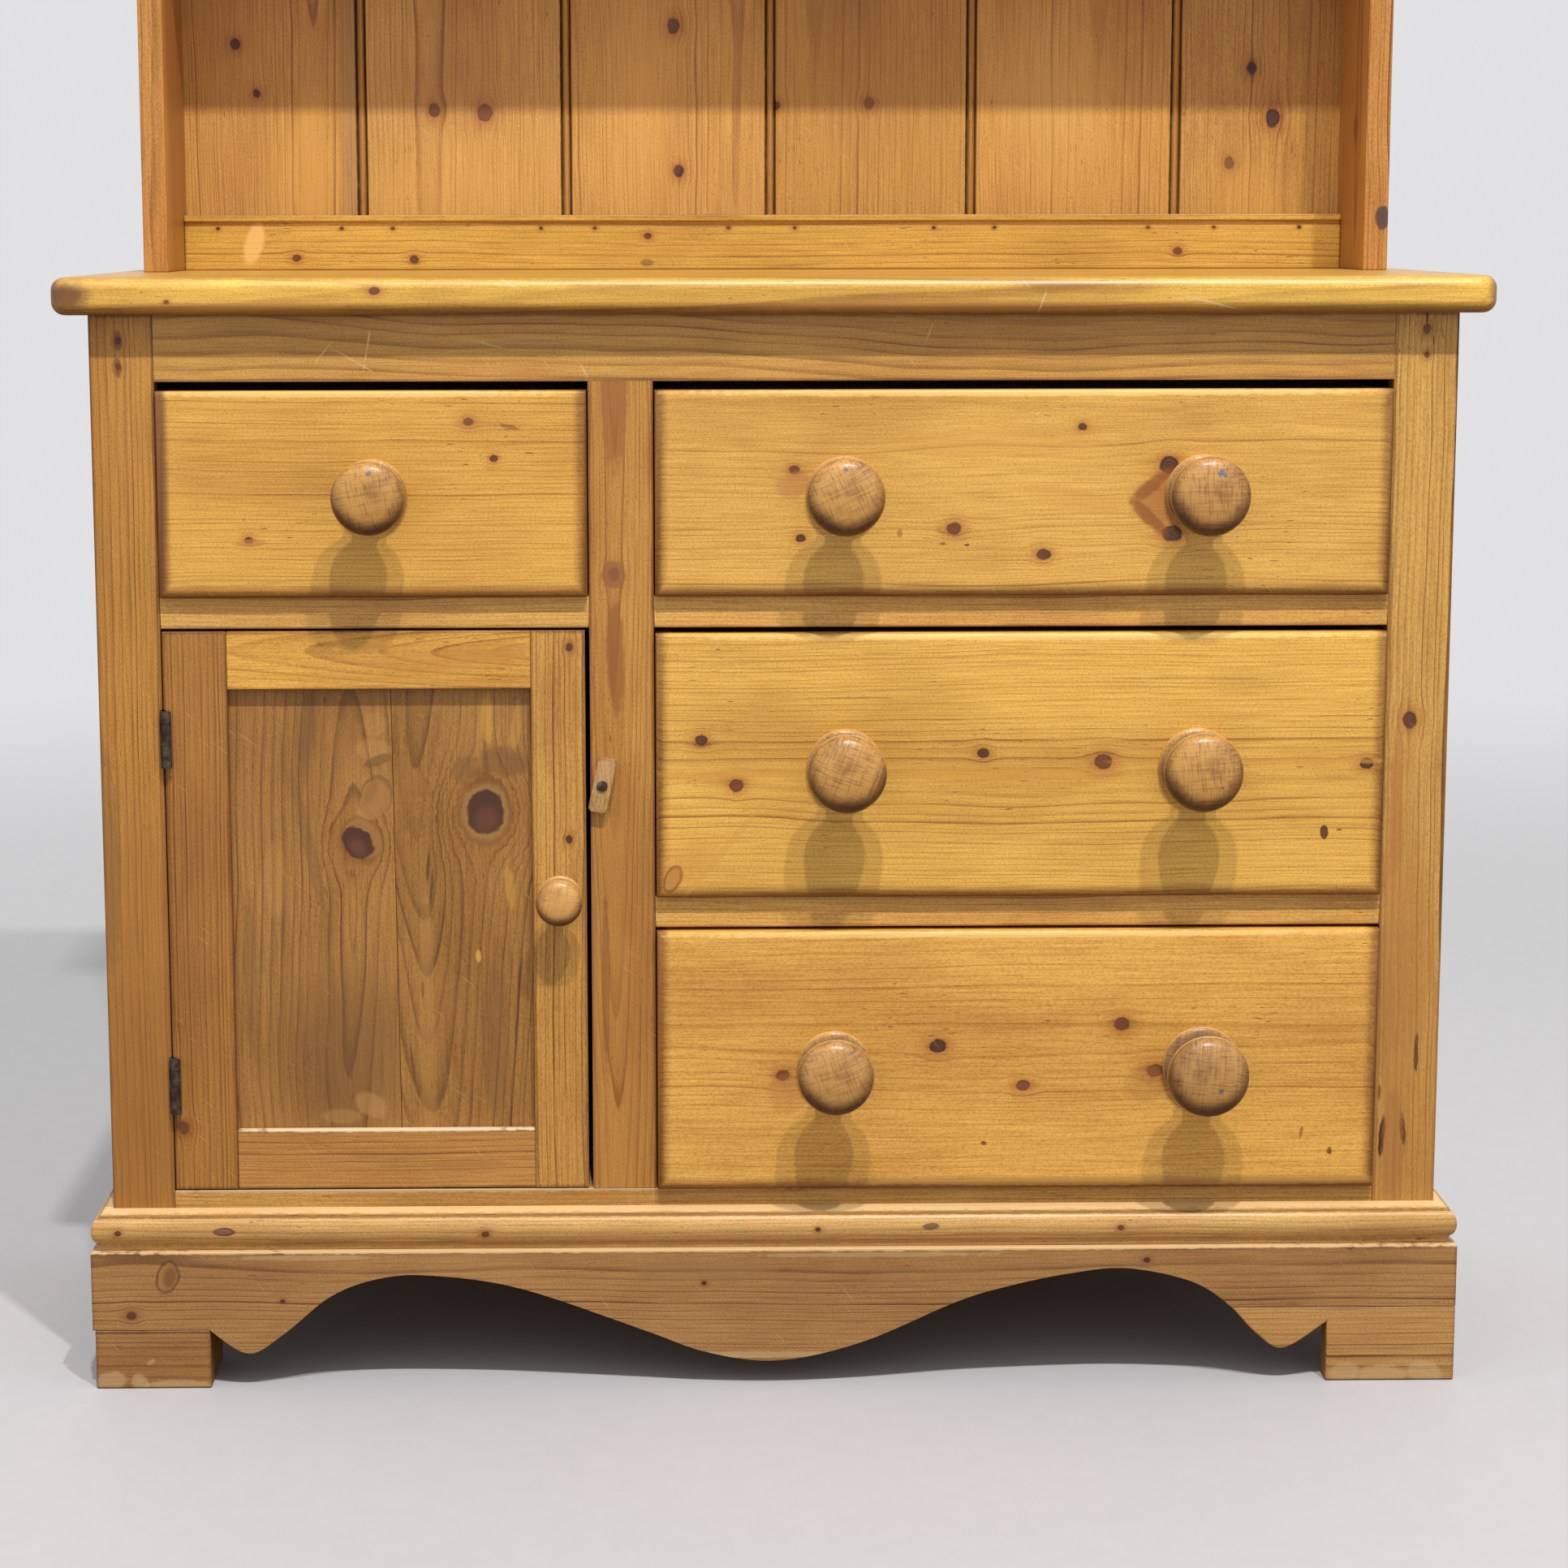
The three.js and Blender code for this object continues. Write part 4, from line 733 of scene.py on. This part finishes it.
board(
    "upper_drawer_front", "xzy", (-60, 60, 60), 3.4, honey_early, honey_late,
    [
        (14.3, 740.1, 3), (19.4, 686.5, 3), (139.5, 693.8, 4.5), (210, 673.2, 4), (239.4, 773.1, 2.5),
        (308, 743, 6), (311, 689.5, 5.8),
    ],
    wobble=26, dark=0.9, **front_settings_with_shade,
    marks=(
        (306, 715, 24, 17, 0, (174, 112, 56), 0.8, 0.4),
        (294, 727, 20, 5, 40, (146, 84, 40), 0.8, 0.35),
        (293, 702, 20, 5, -44, (146, 84, 40), 0.8, 0.35),
        (14, 728, 14, 10, 20, stain, 0.5),
        (150, 681, 2, 1, 0, soot_and_shade, 0.8),
        (131, 682, 2.5, 1.2, 0, (120, 60, 36), 0.7),
        (97, 690, 2, 3, 0, bruise, 0.5),
        (200, 800, 260, 3, 0, top_edge_highlight, 0.5),
        (170, 760, 90, 10, 0, (206, 152, 70), 0.4),
        (235, 716, 40, 9, -10, (206, 152, 70), 0.4),
    ),
)
board(
    "middle_drawer_front", "xzy", (60, -10, 40), 3.4, (242, 192, 91), honey_late,
    [
        (-58.9, 526.9, 3.8), (-31.3, 490.3, 4.4), (164.2, 515.6, 3.5), (259.2, 508.1, 5.6),
        (469, 505.9, 4.2),
    ],
    wobble=24, **front_settings_with_shade,
    marks=(
        (436.6, 451, 3.5, 6, 0, (86, 50, 30), 0.95, 0.15),
        (449, 453, 2.5, 0.8, 0, bruise, 0.9),
        (-81.9, 415.2, 7, 12, -25, (116, 68, 34), 0.9, 0.12),
        (-82, 415.2, 5, 9.5, -25, (192, 134, 62), 0.9, 0.12),
        (-70, 428, 26, 14, 40, (196, 134, 62), 0.4, 0.7),
        (-40, 440, 50, 3, 50, (204, 150, 66), 0.4),
        (100, 500, 200, 4, 0, (208, 150, 64), 0.4),
        (380, 508, 110, 3, 0, (208, 150, 64), 0.5),
        (200, 608, 260, 2.5, 0, top_edge_highlight, 0.5),
        (330, 575, 60, 0.8, 0, bruise, 0.35),
        (60, 560, 30, 0.8, 0, bruise, 0.35),
    ),
)
board(
    "lower_drawer_front", "xzy", (30, 20, 34), 3.6, (239, 184, 90), honey_late,
    [(129.8, 278.1, 5), (198.8, 245.6, 4), (278, 295.4, 5), (304.8, 257.1, 5), (5.7, 254.7, 4)],
    wobble=24, dark=0.72, **front_settings_with_shade,
    marks=(
        (298, 247, 17, 15, 0, (168, 112, 60), 0.35),
        (10, 240, 16, 16, 0, stain, 0.4),
        (198.8, 240, 9, 9, 0, stain, 0.25),
        (167.6, 198, 2.4, 2, 0, bruise, 0.9),
        (447, 190, 2, 2.8, 0, bruise, 0.9),
        (424, 206, 1.4, 5, -8, bruise, 0.6),
        (300, 166, 260, 3.5, 0, (190, 142, 74), 0.5),
        (180, 369, 260, 2.5, 0, top_edge_highlight, 0.5),
        (429, 263, 40, 1, 0, bruise, 0.4),
    ),
)
for drawer in ("small_drawer", "upper_drawer", "middle_drawer", "lower_drawer"):
    for part, grain in (("box", "yzx"), ("bottom", "xyz")):
        name = f"{drawer}_{part}"
        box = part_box(name)
        wood = pine(name + "_pine", box, grain, (0, 50, 40), 3.4, *raw_tones, dirt=0.3, gloss=0.0)
        paint(frame["nodes"][name], wood)


# The knobs: turned from pine with the grain running from front to back, so the end grain shows on the
# dome. A wide flange, a waist, and a head with a rim and a quirk. Years of hands have darkened them,
# and painted shade darkens their lower sides and the waist under the head.
def turned(name, centre, outline):
    """Spins an outline of (distance from the axis, distance ahead) about the line that runs from
    front to back through centre."""
    bpy.ops.object.select_all(action="DESELECT")
    bpy.ops.mesh.primitive_plane_add(size=0.001)
    piece = bpy.context.object
    piece.name = name
    bpy.ops.object.mode_set(mode="EDIT")
    bpy.ops.mesh.select_mode(type="VERT")
    bpy.ops.mesh.select_all(action="SELECT")
    bpy.ops.mesh.merge(type="CENTER")
    points = [Vector((centre[0] + out, centre[1] - up, centre[2])) for out, up in outline]
    bpy.ops.transform.translate(value=points[0])
    for start, end in zip(points, points[1:]):
        bpy.ops.mesh.extrude_region_move(TRANSFORM_OT_translate={"value": end - start})
    bpy.ops.mesh.select_all(action="SELECT")
    bpy.ops.mesh.spin(steps=64, angle=2 * pi, center=centre, axis=(0, 1, 0))
    bpy.ops.mesh.select_all(action="SELECT")
    bpy.ops.mesh.remove_doubles(threshold=same_point)
    bpy.ops.mesh.normals_make_consistent(inside=False)
    bpy.ops.object.mode_set(mode="OBJECT")
    bpy.ops.object.shade_smooth_by_angle(angle=radians(50))
    return piece


def handled(name, centre, radius, projection, early, late, turn, blots):
    """End grain that years of hands have darkened to the rim, with painted shade towards the bottom
    and under the head, cut across by fine turning marks.
    """
    material, tree = new_material(name)
    place = vector_calc(tree, "SUBTRACT", node(tree, "TexCoord", out="Object"), list(centre))
    sideways, along, up = split(tree, place)
    round_axis = node(tree, "CombineXYZ", (sideways, 0.0, up))
    out = calc(tree, "DIVIDE", length_of(tree, round_axis), radius)
    turning = {"Vector": place, "Angle": radians(turn)}
    turned_place = node(tree, "VectorRotate", turning, rotation_type="Y_AXIS")
    down = cloud(tree, turned_place, (900, 300, 60), 3)
    over = cloud(tree, turned_place, (60, 300, 1100), 3)
    patches = cloud(tree, turned_place, (40, 40, 40), 3)
    years = cloud(tree, turned_place, (24, 24, 420))
    hatch = calc(tree, "MAXIMUM", fade(tree, down, 0.5, 0.68), fade(tree, over, 0.52, 0.7, 0, 0.8))
    share = calc(tree, "MULTIPLY_ADD", hatch, 0.55, fade(tree, years, 0.42, 0.64, 0, 0.3))
    share = calc(tree, "ADD", share, fade(tree, patches, 0.42, 0.66, -0.1, 0.35))
    colour = mixed(tree, share, tone(*early), tone(*late))
    # Darker out towards the rim, from hands, and darker towards the bottom, which is painted shade.
    low_side = calc(tree, "MULTIPLY_ADD", up, -0.35 / radius, out)
    hand_dirt_and_low_shade = fade(tree, calc(tree, "MULTIPLY_ADD", patches, 0.3, low_side), 0.7, 1.3)
    colour = mixed(tree, hand_dirt_and_low_shade, colour, darkened(tree, colour, (134, 112, 98)))
    ahead = calc(tree, "DIVIDE", along, -projection)
    # The quirk is darkened along its groove, and the waist under the head is darkened as painted
    # shade, where the head shadows it.
    quirk = bell(tree, calc(tree, "SUBTRACT", ahead, 0.758), 0.014)
    hollow = calc(tree, "MULTIPLY", fade(tree, ahead, 0.1, 0.16), fade(tree, ahead, 0.66, 0.58))
    dirty = calc(tree, "MAXIMUM", calc(tree, "MULTIPLY", quirk, 0.85), hollow)
    colour = mixed(tree, dirty, colour, darkened(tree, colour, (120, 92, 72)))
    rim = bell(tree, calc(tree, "SUBTRACT", ahead, 0.72), 0.02)
    pale = calc(tree, "MAXIMUM", rim, fade(tree, ahead, 0.11, 0.07))
    colour = mixed(tree, calc(tree, "MULTIPLY", pale, 0.55), colour, tone(226, 176, 104))
    ragged = cloud(tree, place, (420, 420, 420), 2)
    for across, above, size in blots:
        away = vector_calc(tree, "SUBTRACT", round_axis, (across / 1000, 0, above / 1000))
        away = calc(tree, "DIVIDE", length_of(tree, away), size / 1000)
        away = calc(tree, "ADD", away, calc(tree, "MULTIPLY_ADD", ragged, 1.2, -0.6))
        colour = mixed(tree, fade(tree, away, 1.1, 0.75, 0, 0.85), colour, tone(92, 96, 104))
    bump = node(tree, "Bump", {"Strength": 0.5, "Distance": 0.0003, "Height": hatch})
    feeds = {
        "Base Color": colour,
        "Roughness": fade(tree, patches, 0.3, 0.7, 0.34, 0.5),
        "Normal": bump,
        "Specular IOR Level": 0.4,
        "Coat Weight": 0.25,
        "Coat Roughness": 0.22,
    }
    finish_material(tree, node(tree, "BsdfPrincipled", feeds))
    return material


# How far from the axis and how far ahead of the wood that it stands on, as shares of the head's
# radius and of the whole projection: the tenon in the wood, the flange, the waist, the head's rim,
# the quirk and the dome.
tenon_radius, tenon_end, seat = 0.33, -0.2778, 0.0055
knob_outline = [
    (0, tenon_end), (tenon_radius, tenon_end), (tenon_radius, seat),
    (0.94, seat), (0.965, 0.022), (0.97, 0.05), (0.96, 0.075), (0.93, 0.1), (0.86, 0.118),
    (0.72, 0.135), (0.6, 0.16), (0.52, 0.195), (0.475, 0.25), (0.46, 0.33), (0.475, 0.42),
    (0.53, 0.49), (0.62, 0.55), (0.75, 0.6), (0.88, 0.635), (0.95, 0.665), (0.985, 0.685),
    (1, 0.71), (0.995, 0.73), (0.975, 0.745), (0.955, 0.752), (0.947, 0.762), (0.955, 0.772),
    (0.972, 0.785), (0.975, 0.805), (0.965, 0.83), (0.94, 0.86), (0.895, 0.89), (0.83, 0.917),
    (0.74, 0.943), (0.6, 0.966), (0.42, 0.985), (0.22, 0.996), (0, 1),
]
wide_knob_radius, wide_knob_projection = 31, 54
for name, early, late, turn, blots in (
    ("small_drawer_knob", (194, 142, 70), (132, 84, 38), 12, [(2, 20, 2.2)]),
    ("upper_drawer_knob_left", (198, 146, 76), (134, 88, 42), 25, [(-1, 22, 1.6)]),
    ("upper_drawer_knob_right", (192, 140, 72), (124, 78, 38), 2, [(6, 19, 3), (9, 17, 1.6)]),
    ("middle_drawer_knob_left", (198, 146, 74), (132, 86, 40), 70, []),
    ("middle_drawer_knob_right", (198, 146, 74), (134, 88, 42), 5, [(13, -10, 1.2)]),
    ("lower_drawer_knob_left", (194, 144, 78), (136, 90, 48), 20, []),
    ("lower_drawer_knob_right", (184, 136, 74), (124, 82, 42), 86, [(8, -9, 2)]),
    ("door_knob", (208, 154, 84), (164, 112, 56), 78, []),
):
    low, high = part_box(name)
    radius = (high.z - low.z) / 2
    projection = radius * wide_knob_projection / wide_knob_radius
    face = low.y + projection
    centre = Vector(((low.x + high.x) / 2, face, (low.z + high.z) / 2))
    outline = [(radius * out, max(projection * up, face - high.y)) for out, up in knob_outline]
    knob = turned(name + "_turned", centre, outline)
    wood = handled(name + "_pine", centre, radius, projection, early, late, turn, blots)
    fix(knob, name, wood)

# The door: two stiles and two rails tenoned together, round a thin flat panel held in their grooves.
# The panel is two wide boards glued edge to edge, browner than the frame, with its biggest knots.
board(
    "door_hinge_stile", "zxy", (200, -60, 40), 3.5, (182, 127, 60), (104, 62, 26),
    [(211.8, -475.9, 4)], dark=1.2,
)
board(
    "door_lock_stile", "zxy", (-100, 40, 26), 3.4, (216, 163, 82), (132, 82, 36),
    [(599.8, -163.1, 2.5), (446.4, -164.4, 2.5)],
)
board(
    "door_top_rail", "xzy", (80, 8, 16), 3.2, (238, 183, 84), (176, 116, 50),
    slot="honey_pine", taper=0.06,
    marks=(
        (-268, 590, 60, 8, 3, (196, 134, 60), 0.45),
        (-222, 597, 28, 8, 0, (190, 128, 56), 0.5),
        (-330, 604, 40, 3, -8, (206, 148, 68), 0.4),
        (-300, 575, 120, 2.5, -2, (200, 142, 62), 0.4),
    ),
)
board(
    "door_bottom_rail", "xzy", (0, 40, 30), 3, (206, 151, 80), (140, 92, 46), slot="honey_pine",
    marks=(
        (-313, 209.4, 124, 1.7, 0, (238, 214, 172), 0.75),
        (-250, 180, 30, 5, 0, (160, 108, 56), 0.4),
    ),
)
old_knot, knot_edge, knot_rim, knot_collar = (74, 44, 36), (92, 58, 34), (182, 134, 72), (172, 122, 64)
pale_ring, dry_patch, olive = (208, 158, 90), (206, 158, 94), (116, 80, 44)
panel_tones = (180, 131, 68), (92, 58, 28)
seam = Vector((-0.3032, 0, 0.388))
seam_lean = Vector((1, 0, 0.0095))
half_gap = Vector((0.00015, 0, 0))
for number, side, heart, ring, knots, marks in (
    (1, 1, (-150, -26, 12), 7, [(442.6, -333.2, 9, 1.7)], (
        (268, -342, 66, 50, 0, olive, 0.55, 0.6),
        (537, -371, 40, 7, 8, olive, 0.6, 0.6),
        (440, -372, 60, 5, -12, olive, 0.4),
        (413, -400, 30, 9, 0, pale_ring, 0.16),
        (330, -420, 70, 6, 0, olive, 0.35),
        (517, -318, 9, 15, 10, pale_ring, 0.22),
        (509, -316, 4, 12, -20, olive, 0.7),
        (538, -318, 10, 9, 0, pale_ring, 0.2),
        (478, -322, 20, 9, 25, pale_ring, 0.3),
        (482, -320, 16, 5, 25, (150, 106, 58), 0.6),
        (480, -318, 17.4, 13.4, 20, knot_edge, 0.5, 0.1),
        (478, -318.5, 15.6, 11.8, 20, knot_collar, 0.7, 0.12),
        (484, -322, 10, 4, 30, (140, 98, 54), 0.6, 0.4),
        (446, -329, 19, 15.6, -40, knot_edge, 0.55, 0.1),
        (446, -329, 17.6, 14.2, -40, knot_collar, 0.6, 0.15),
        (442.6, -333.2, 14, 11, -42, old_knot, 0.95, 0.08),
        (439, -333, 8, 6, -42, (108, 66, 46), 0.7, 0.5),
        (228, -326, 9, 14, 30, dry_patch, 0.3),
        (219, -350, 6, 16, 0, dry_patch, 0.2),
    )),
    (2, -1, (120, 34, 16), 5.6, [(467.3, -231, 13, 1.6)], (
        (543, -229, 18, 5, 0, (214, 160, 66), 0.4),
        (536, -206, 20, 4, 6, (206, 152, 70), 0.35),
        (508, -216, 12, 18, 14, olive, 0.6),
        (502, -246, 10, 12, -35, olive, 0.45),
        (467, -231, 26, 21.8, 0, knot_edge, 0.6, 0.1),
        (467, -231, 23.6, 19.4, 0, knot_rim, 0.6, 0.2),
        (467.3, -231, 18, 15, 0, old_knot, 0.95, 0.08),
        (461, -230, 10, 9, 0, (108, 64, 44), 0.8, 0.5),
        (421.8, -277.6, 12, 1.2, 4, soot_and_shade, 0.7),
        (405, -275, 14, 1.1, 5, soot_and_shade, 0.6),
        (322.5, -283, 7, 1.2, 0, soot_and_shade, 0.7),
        (262, -292, 18, 1.1, -6, soot_and_shade, 0.5),
        (405, -212, 16, 4, -6, (206, 150, 62), 0.5),
        (350, -238, 5, 2.4, 0, (216, 166, 70), 0.8),
        (300, -280, 110, 6, 0, (196, 144, 78), 0.25),
        (280, -225, 60, 12, 0, olive, 0.4),
    )),
):
    plank = sawn("door_panel", number, [(seam - side * half_gap, side * seam_lean)])
    wood = pine(
        f"door_panel_{number}_pine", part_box("door_panel"), "zxy", heart, ring, *panel_tones,
        knots, marks, wobble=48, taper=0.09, dirt=0.4, band=12, dark=0.85, gloss=0.08,
    )
    fix(plank, "door_panel", wood)


# The hinges: two cast iron butts let in flush at the door's left edge, black and pitted with age. Each
# has one leaf on the frame and one on the door, with five knuckles on a pin.
def old_iron(name, dark, light):
    material, tree = new_material(name)
    place = node(tree, "TexCoord", out="Object")
    pits = cloud(tree, place, (900, 900, 900), 3)
    bloom = cloud(tree, place, (160, 160, 160), 4)
    colour = mixed(tree, fade(tree, bloom, 0.4, 0.7), tone(*dark), tone(*light))
    rust = fade(tree, cloud(tree, place, (330, 330, 330), 3), 0.56, 0.7, 0, 0.6)
    colour = mixed(tree, rust, colour, tone(96, 58, 36))
    bump = node(tree, "Bump", {"Strength": 0.8, "Distance": 0.0003, "Height": pits})
    feeds = {
        "Base Color": colour,
        "Metallic": 0.55,
        "Roughness": fade(tree, pits, 0.3, 0.7, 0.42, 0.72),
        "Normal": bump,
    }
    finish_material(tree, node(tree, "BsdfPrincipled", feeds))
    return material


hinge_iron = old_iron("hinge_iron", (52, 44, 40), (92, 80, 70))
for level in ("upper", "lower"):
    for side in ("frame", "door"):
        name = f"{level}_hinge_{side}_leaf"
        fix(dressed(name, 0.3, "z"), name, hinge_iron)

# The turn button: a small whittled toggle of unwaxed pine, held to the centre stile by one slotted
# iron screw. It turns on the screw to lock the door.
board(
    "turn_button", "zxy", (0, 20, 20), 2.4, (222, 182, 122), (176, 126, 72), (),
    "raw_pine", 1.0, "y", dirt=0.5, wobble=6,
)
screw_iron = old_iron("screw_iron", (58, 50, 44), (110, 98, 86))
fix(dressed("turn_button_screw", 0.3, "y"), "turn_button_screw", screw_iron)

# The rack: two plank sides, with shelves and a top board housed between them, a back of six upright
# boards with a bead at each joint, a rail along the bottom with a thin strip on it, and a frieze and
# a cornice over the front.
rack_early, rack_side_early, rack_late = (208, 148, 70), (222, 160, 82), (150, 94, 40)
board(
    "rack_left_side", "zyx", (200, 30, 40), 3.4, rack_side_early, rack_late, wobble=18, dirt=0.3,
    # Painted shade: the side darkened over its front part, for its inner face, which little lamp light
    # reaches.
    marks=((1400, 190, 900, 88, 0, (140, 88, 40), 0.6),),
)
board(
    "rack_right_side", "zyx", (100, -30, 50), 3.4, rack_side_early, rack_late, [(1010, 140, 8)],
    wobble=18, dirt=0.3,
    marks=(
        # Painted shade: the side darkened over its front part, for its inner face, which little lamp
        # light reaches.
        (1400, 190, 900, 88, 0, (150, 98, 50), 0.45),
        (934.2, 92, 10, 9, 0, (84, 62, 56), 0.95, 0.15, 521.9, 6),
    ),
)
for shelf in ("rack_lower_shelf", "rack_upper_shelf", "rack_top_board"):
    board(shelf, "xyz", (0, 40, 40), 3.4, rack_early, rack_late, wobble=20)
board("rack_frieze", "xzy", (0, 30, 30), 3.2, rack_early, rack_late)
board("rack_cornice", "xzy", (0, 30, 30), 3.2, rack_early, rack_late, worn=0.6, sides="z")
nail_places = (-477, -369, -324.5, -195, -148, -31, 27, 149, 202, 337, 395, 470)
nails = [(place, 926, 1.4, 0) for place in nail_places]
board(
    "rack_back_rail", "xzy", (0, 30, 34), 3.4, (223, 176, 79), (174, 125, 56),
    [(-409.3, 900.5, 3), (-306.4, 899, 3), (-101.7, 919, 2.5), (363.5, 905.6, 3), *nails], dirt=0.4,
    marks=((-445.8, 913.2, 8, 18, -16, (234, 188, 110), 0.8), (-101.7, 896, 6, 3, 0, bruise, 0.6)),
)

# The back boards, from left to right: their tones, heart, rings, knots and patches. A bead is given by
# its middle, and the joint runs down its right-hand side.
beads = [-0.3515, -0.1727, 0.0061, 0.1823, 0.3621]
half_bead, half_saw_cut = 0.0039, 0.00008
# The first is a dark brown for the quirk beside each bead, where it stands as painted shade, and for
# the joint; the second is a pale tone for the bead's crown, a painted highlight.
quirk_shade_and_joint_brown, bead_highlight = (74, 44, 26), (214, 156, 84)
for number, (early, late, heart, ring, knots, patches) in enumerate((
    (
        (208, 155, 81), (140, 88, 38), (0, 40, 30), 2.6, [(1084.5, -460.3, 4), (1042.8, -442.9, 3)],
        [
            (975, -400, 50, 28, 0, (232, 176, 82), 0.3, 0.7),
            (1010, -361, 170, 8, 0, (150, 118, 84), 0.4, 0.6),
        ],
    ),
    (
        (212, 163, 89), (156, 102, 48), (0, -30, 40), 3, [(1028, -288, 4.5), (1025.9, -244.1, 6)],
        [
            (950, -262, 50, 70, 0, (228, 168, 82), 0.25, 0.8),
            (1050, -268, 30, 50, 0, (150, 96, 56), 0.3, 0.8),
        ],
    ),
    (
        (212, 160, 85), (163, 109, 53), (0, 60, 30), 3.4, [(1100.2, -78.3, 5), (975.2, -74.5, 4)],
        [(1034, -110, 90, 25, 0, (232, 176, 92), 0.25, 0.8)],
    ),
    (
        (200, 150, 74), (150, 98, 46), (0, -50, 40), 4, [(1033.9, 92.9, 4), (1031.9, 11, 3)],
        [(1060, 90, 60, 60, 0, (160, 108, 56), 0.3, 0.8)],
    ),
    (
        (210, 156, 79), (163, 109, 51), (0, 20, 40), 4, [],
        [(1030, 250, 60, 40, 0, (236, 190, 110), 0.25, 0.8)],
    ),
    (
        (201, 152, 79), (148, 95, 44), (0, 30, 24), 3.4,
        [(1063.6, 428.1, 4), (1020.9, 447.6, 6), (981.6, 409.8, 4)],
        [(950, 425, 40, 40, 0, (226, 166, 78), 0.25, 0.8)],
    ),
)):
    low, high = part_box("rack_back_boards")
    cuts, bead = [], []
    if number < len(beads):
        high.x = beads[number]
        cuts.append((Vector((beads[number] + half_bead - half_saw_cut, 0, 0)), Vector((1, 0, 0))))
        crown = high.x * 1000
        bead = [
            (1400, crown - 4, 900, 1.2, 0, quirk_shade_and_joint_brown, 0.75, 0.3),
            (1400, crown, 900, 1.8, 0, bead_highlight, 0.35, 0.5),
            (1400, crown + 3.6, 900, 0.9, 0, quirk_shade_and_joint_brown, 0.75, 0.3),
        ]
    if number:
        low.x = beads[number - 1]
        cuts.append((Vector((beads[number - 1] + half_bead + half_saw_cut, 0, 0)), Vector((-1, 0, 0))))
    plank = sawn("rack_back_boards", number + 1, cuts, 0)
    wood = pine(
        f"rack_back_board_{number + 1}_pine", (low, high), "zxy", heart, ring, early, late, knots,
        patches + bead, wobble=26, taper=0.01, dirt=0.6, band=5,
    )
    fix(plank, "rack_back_boards", wood)
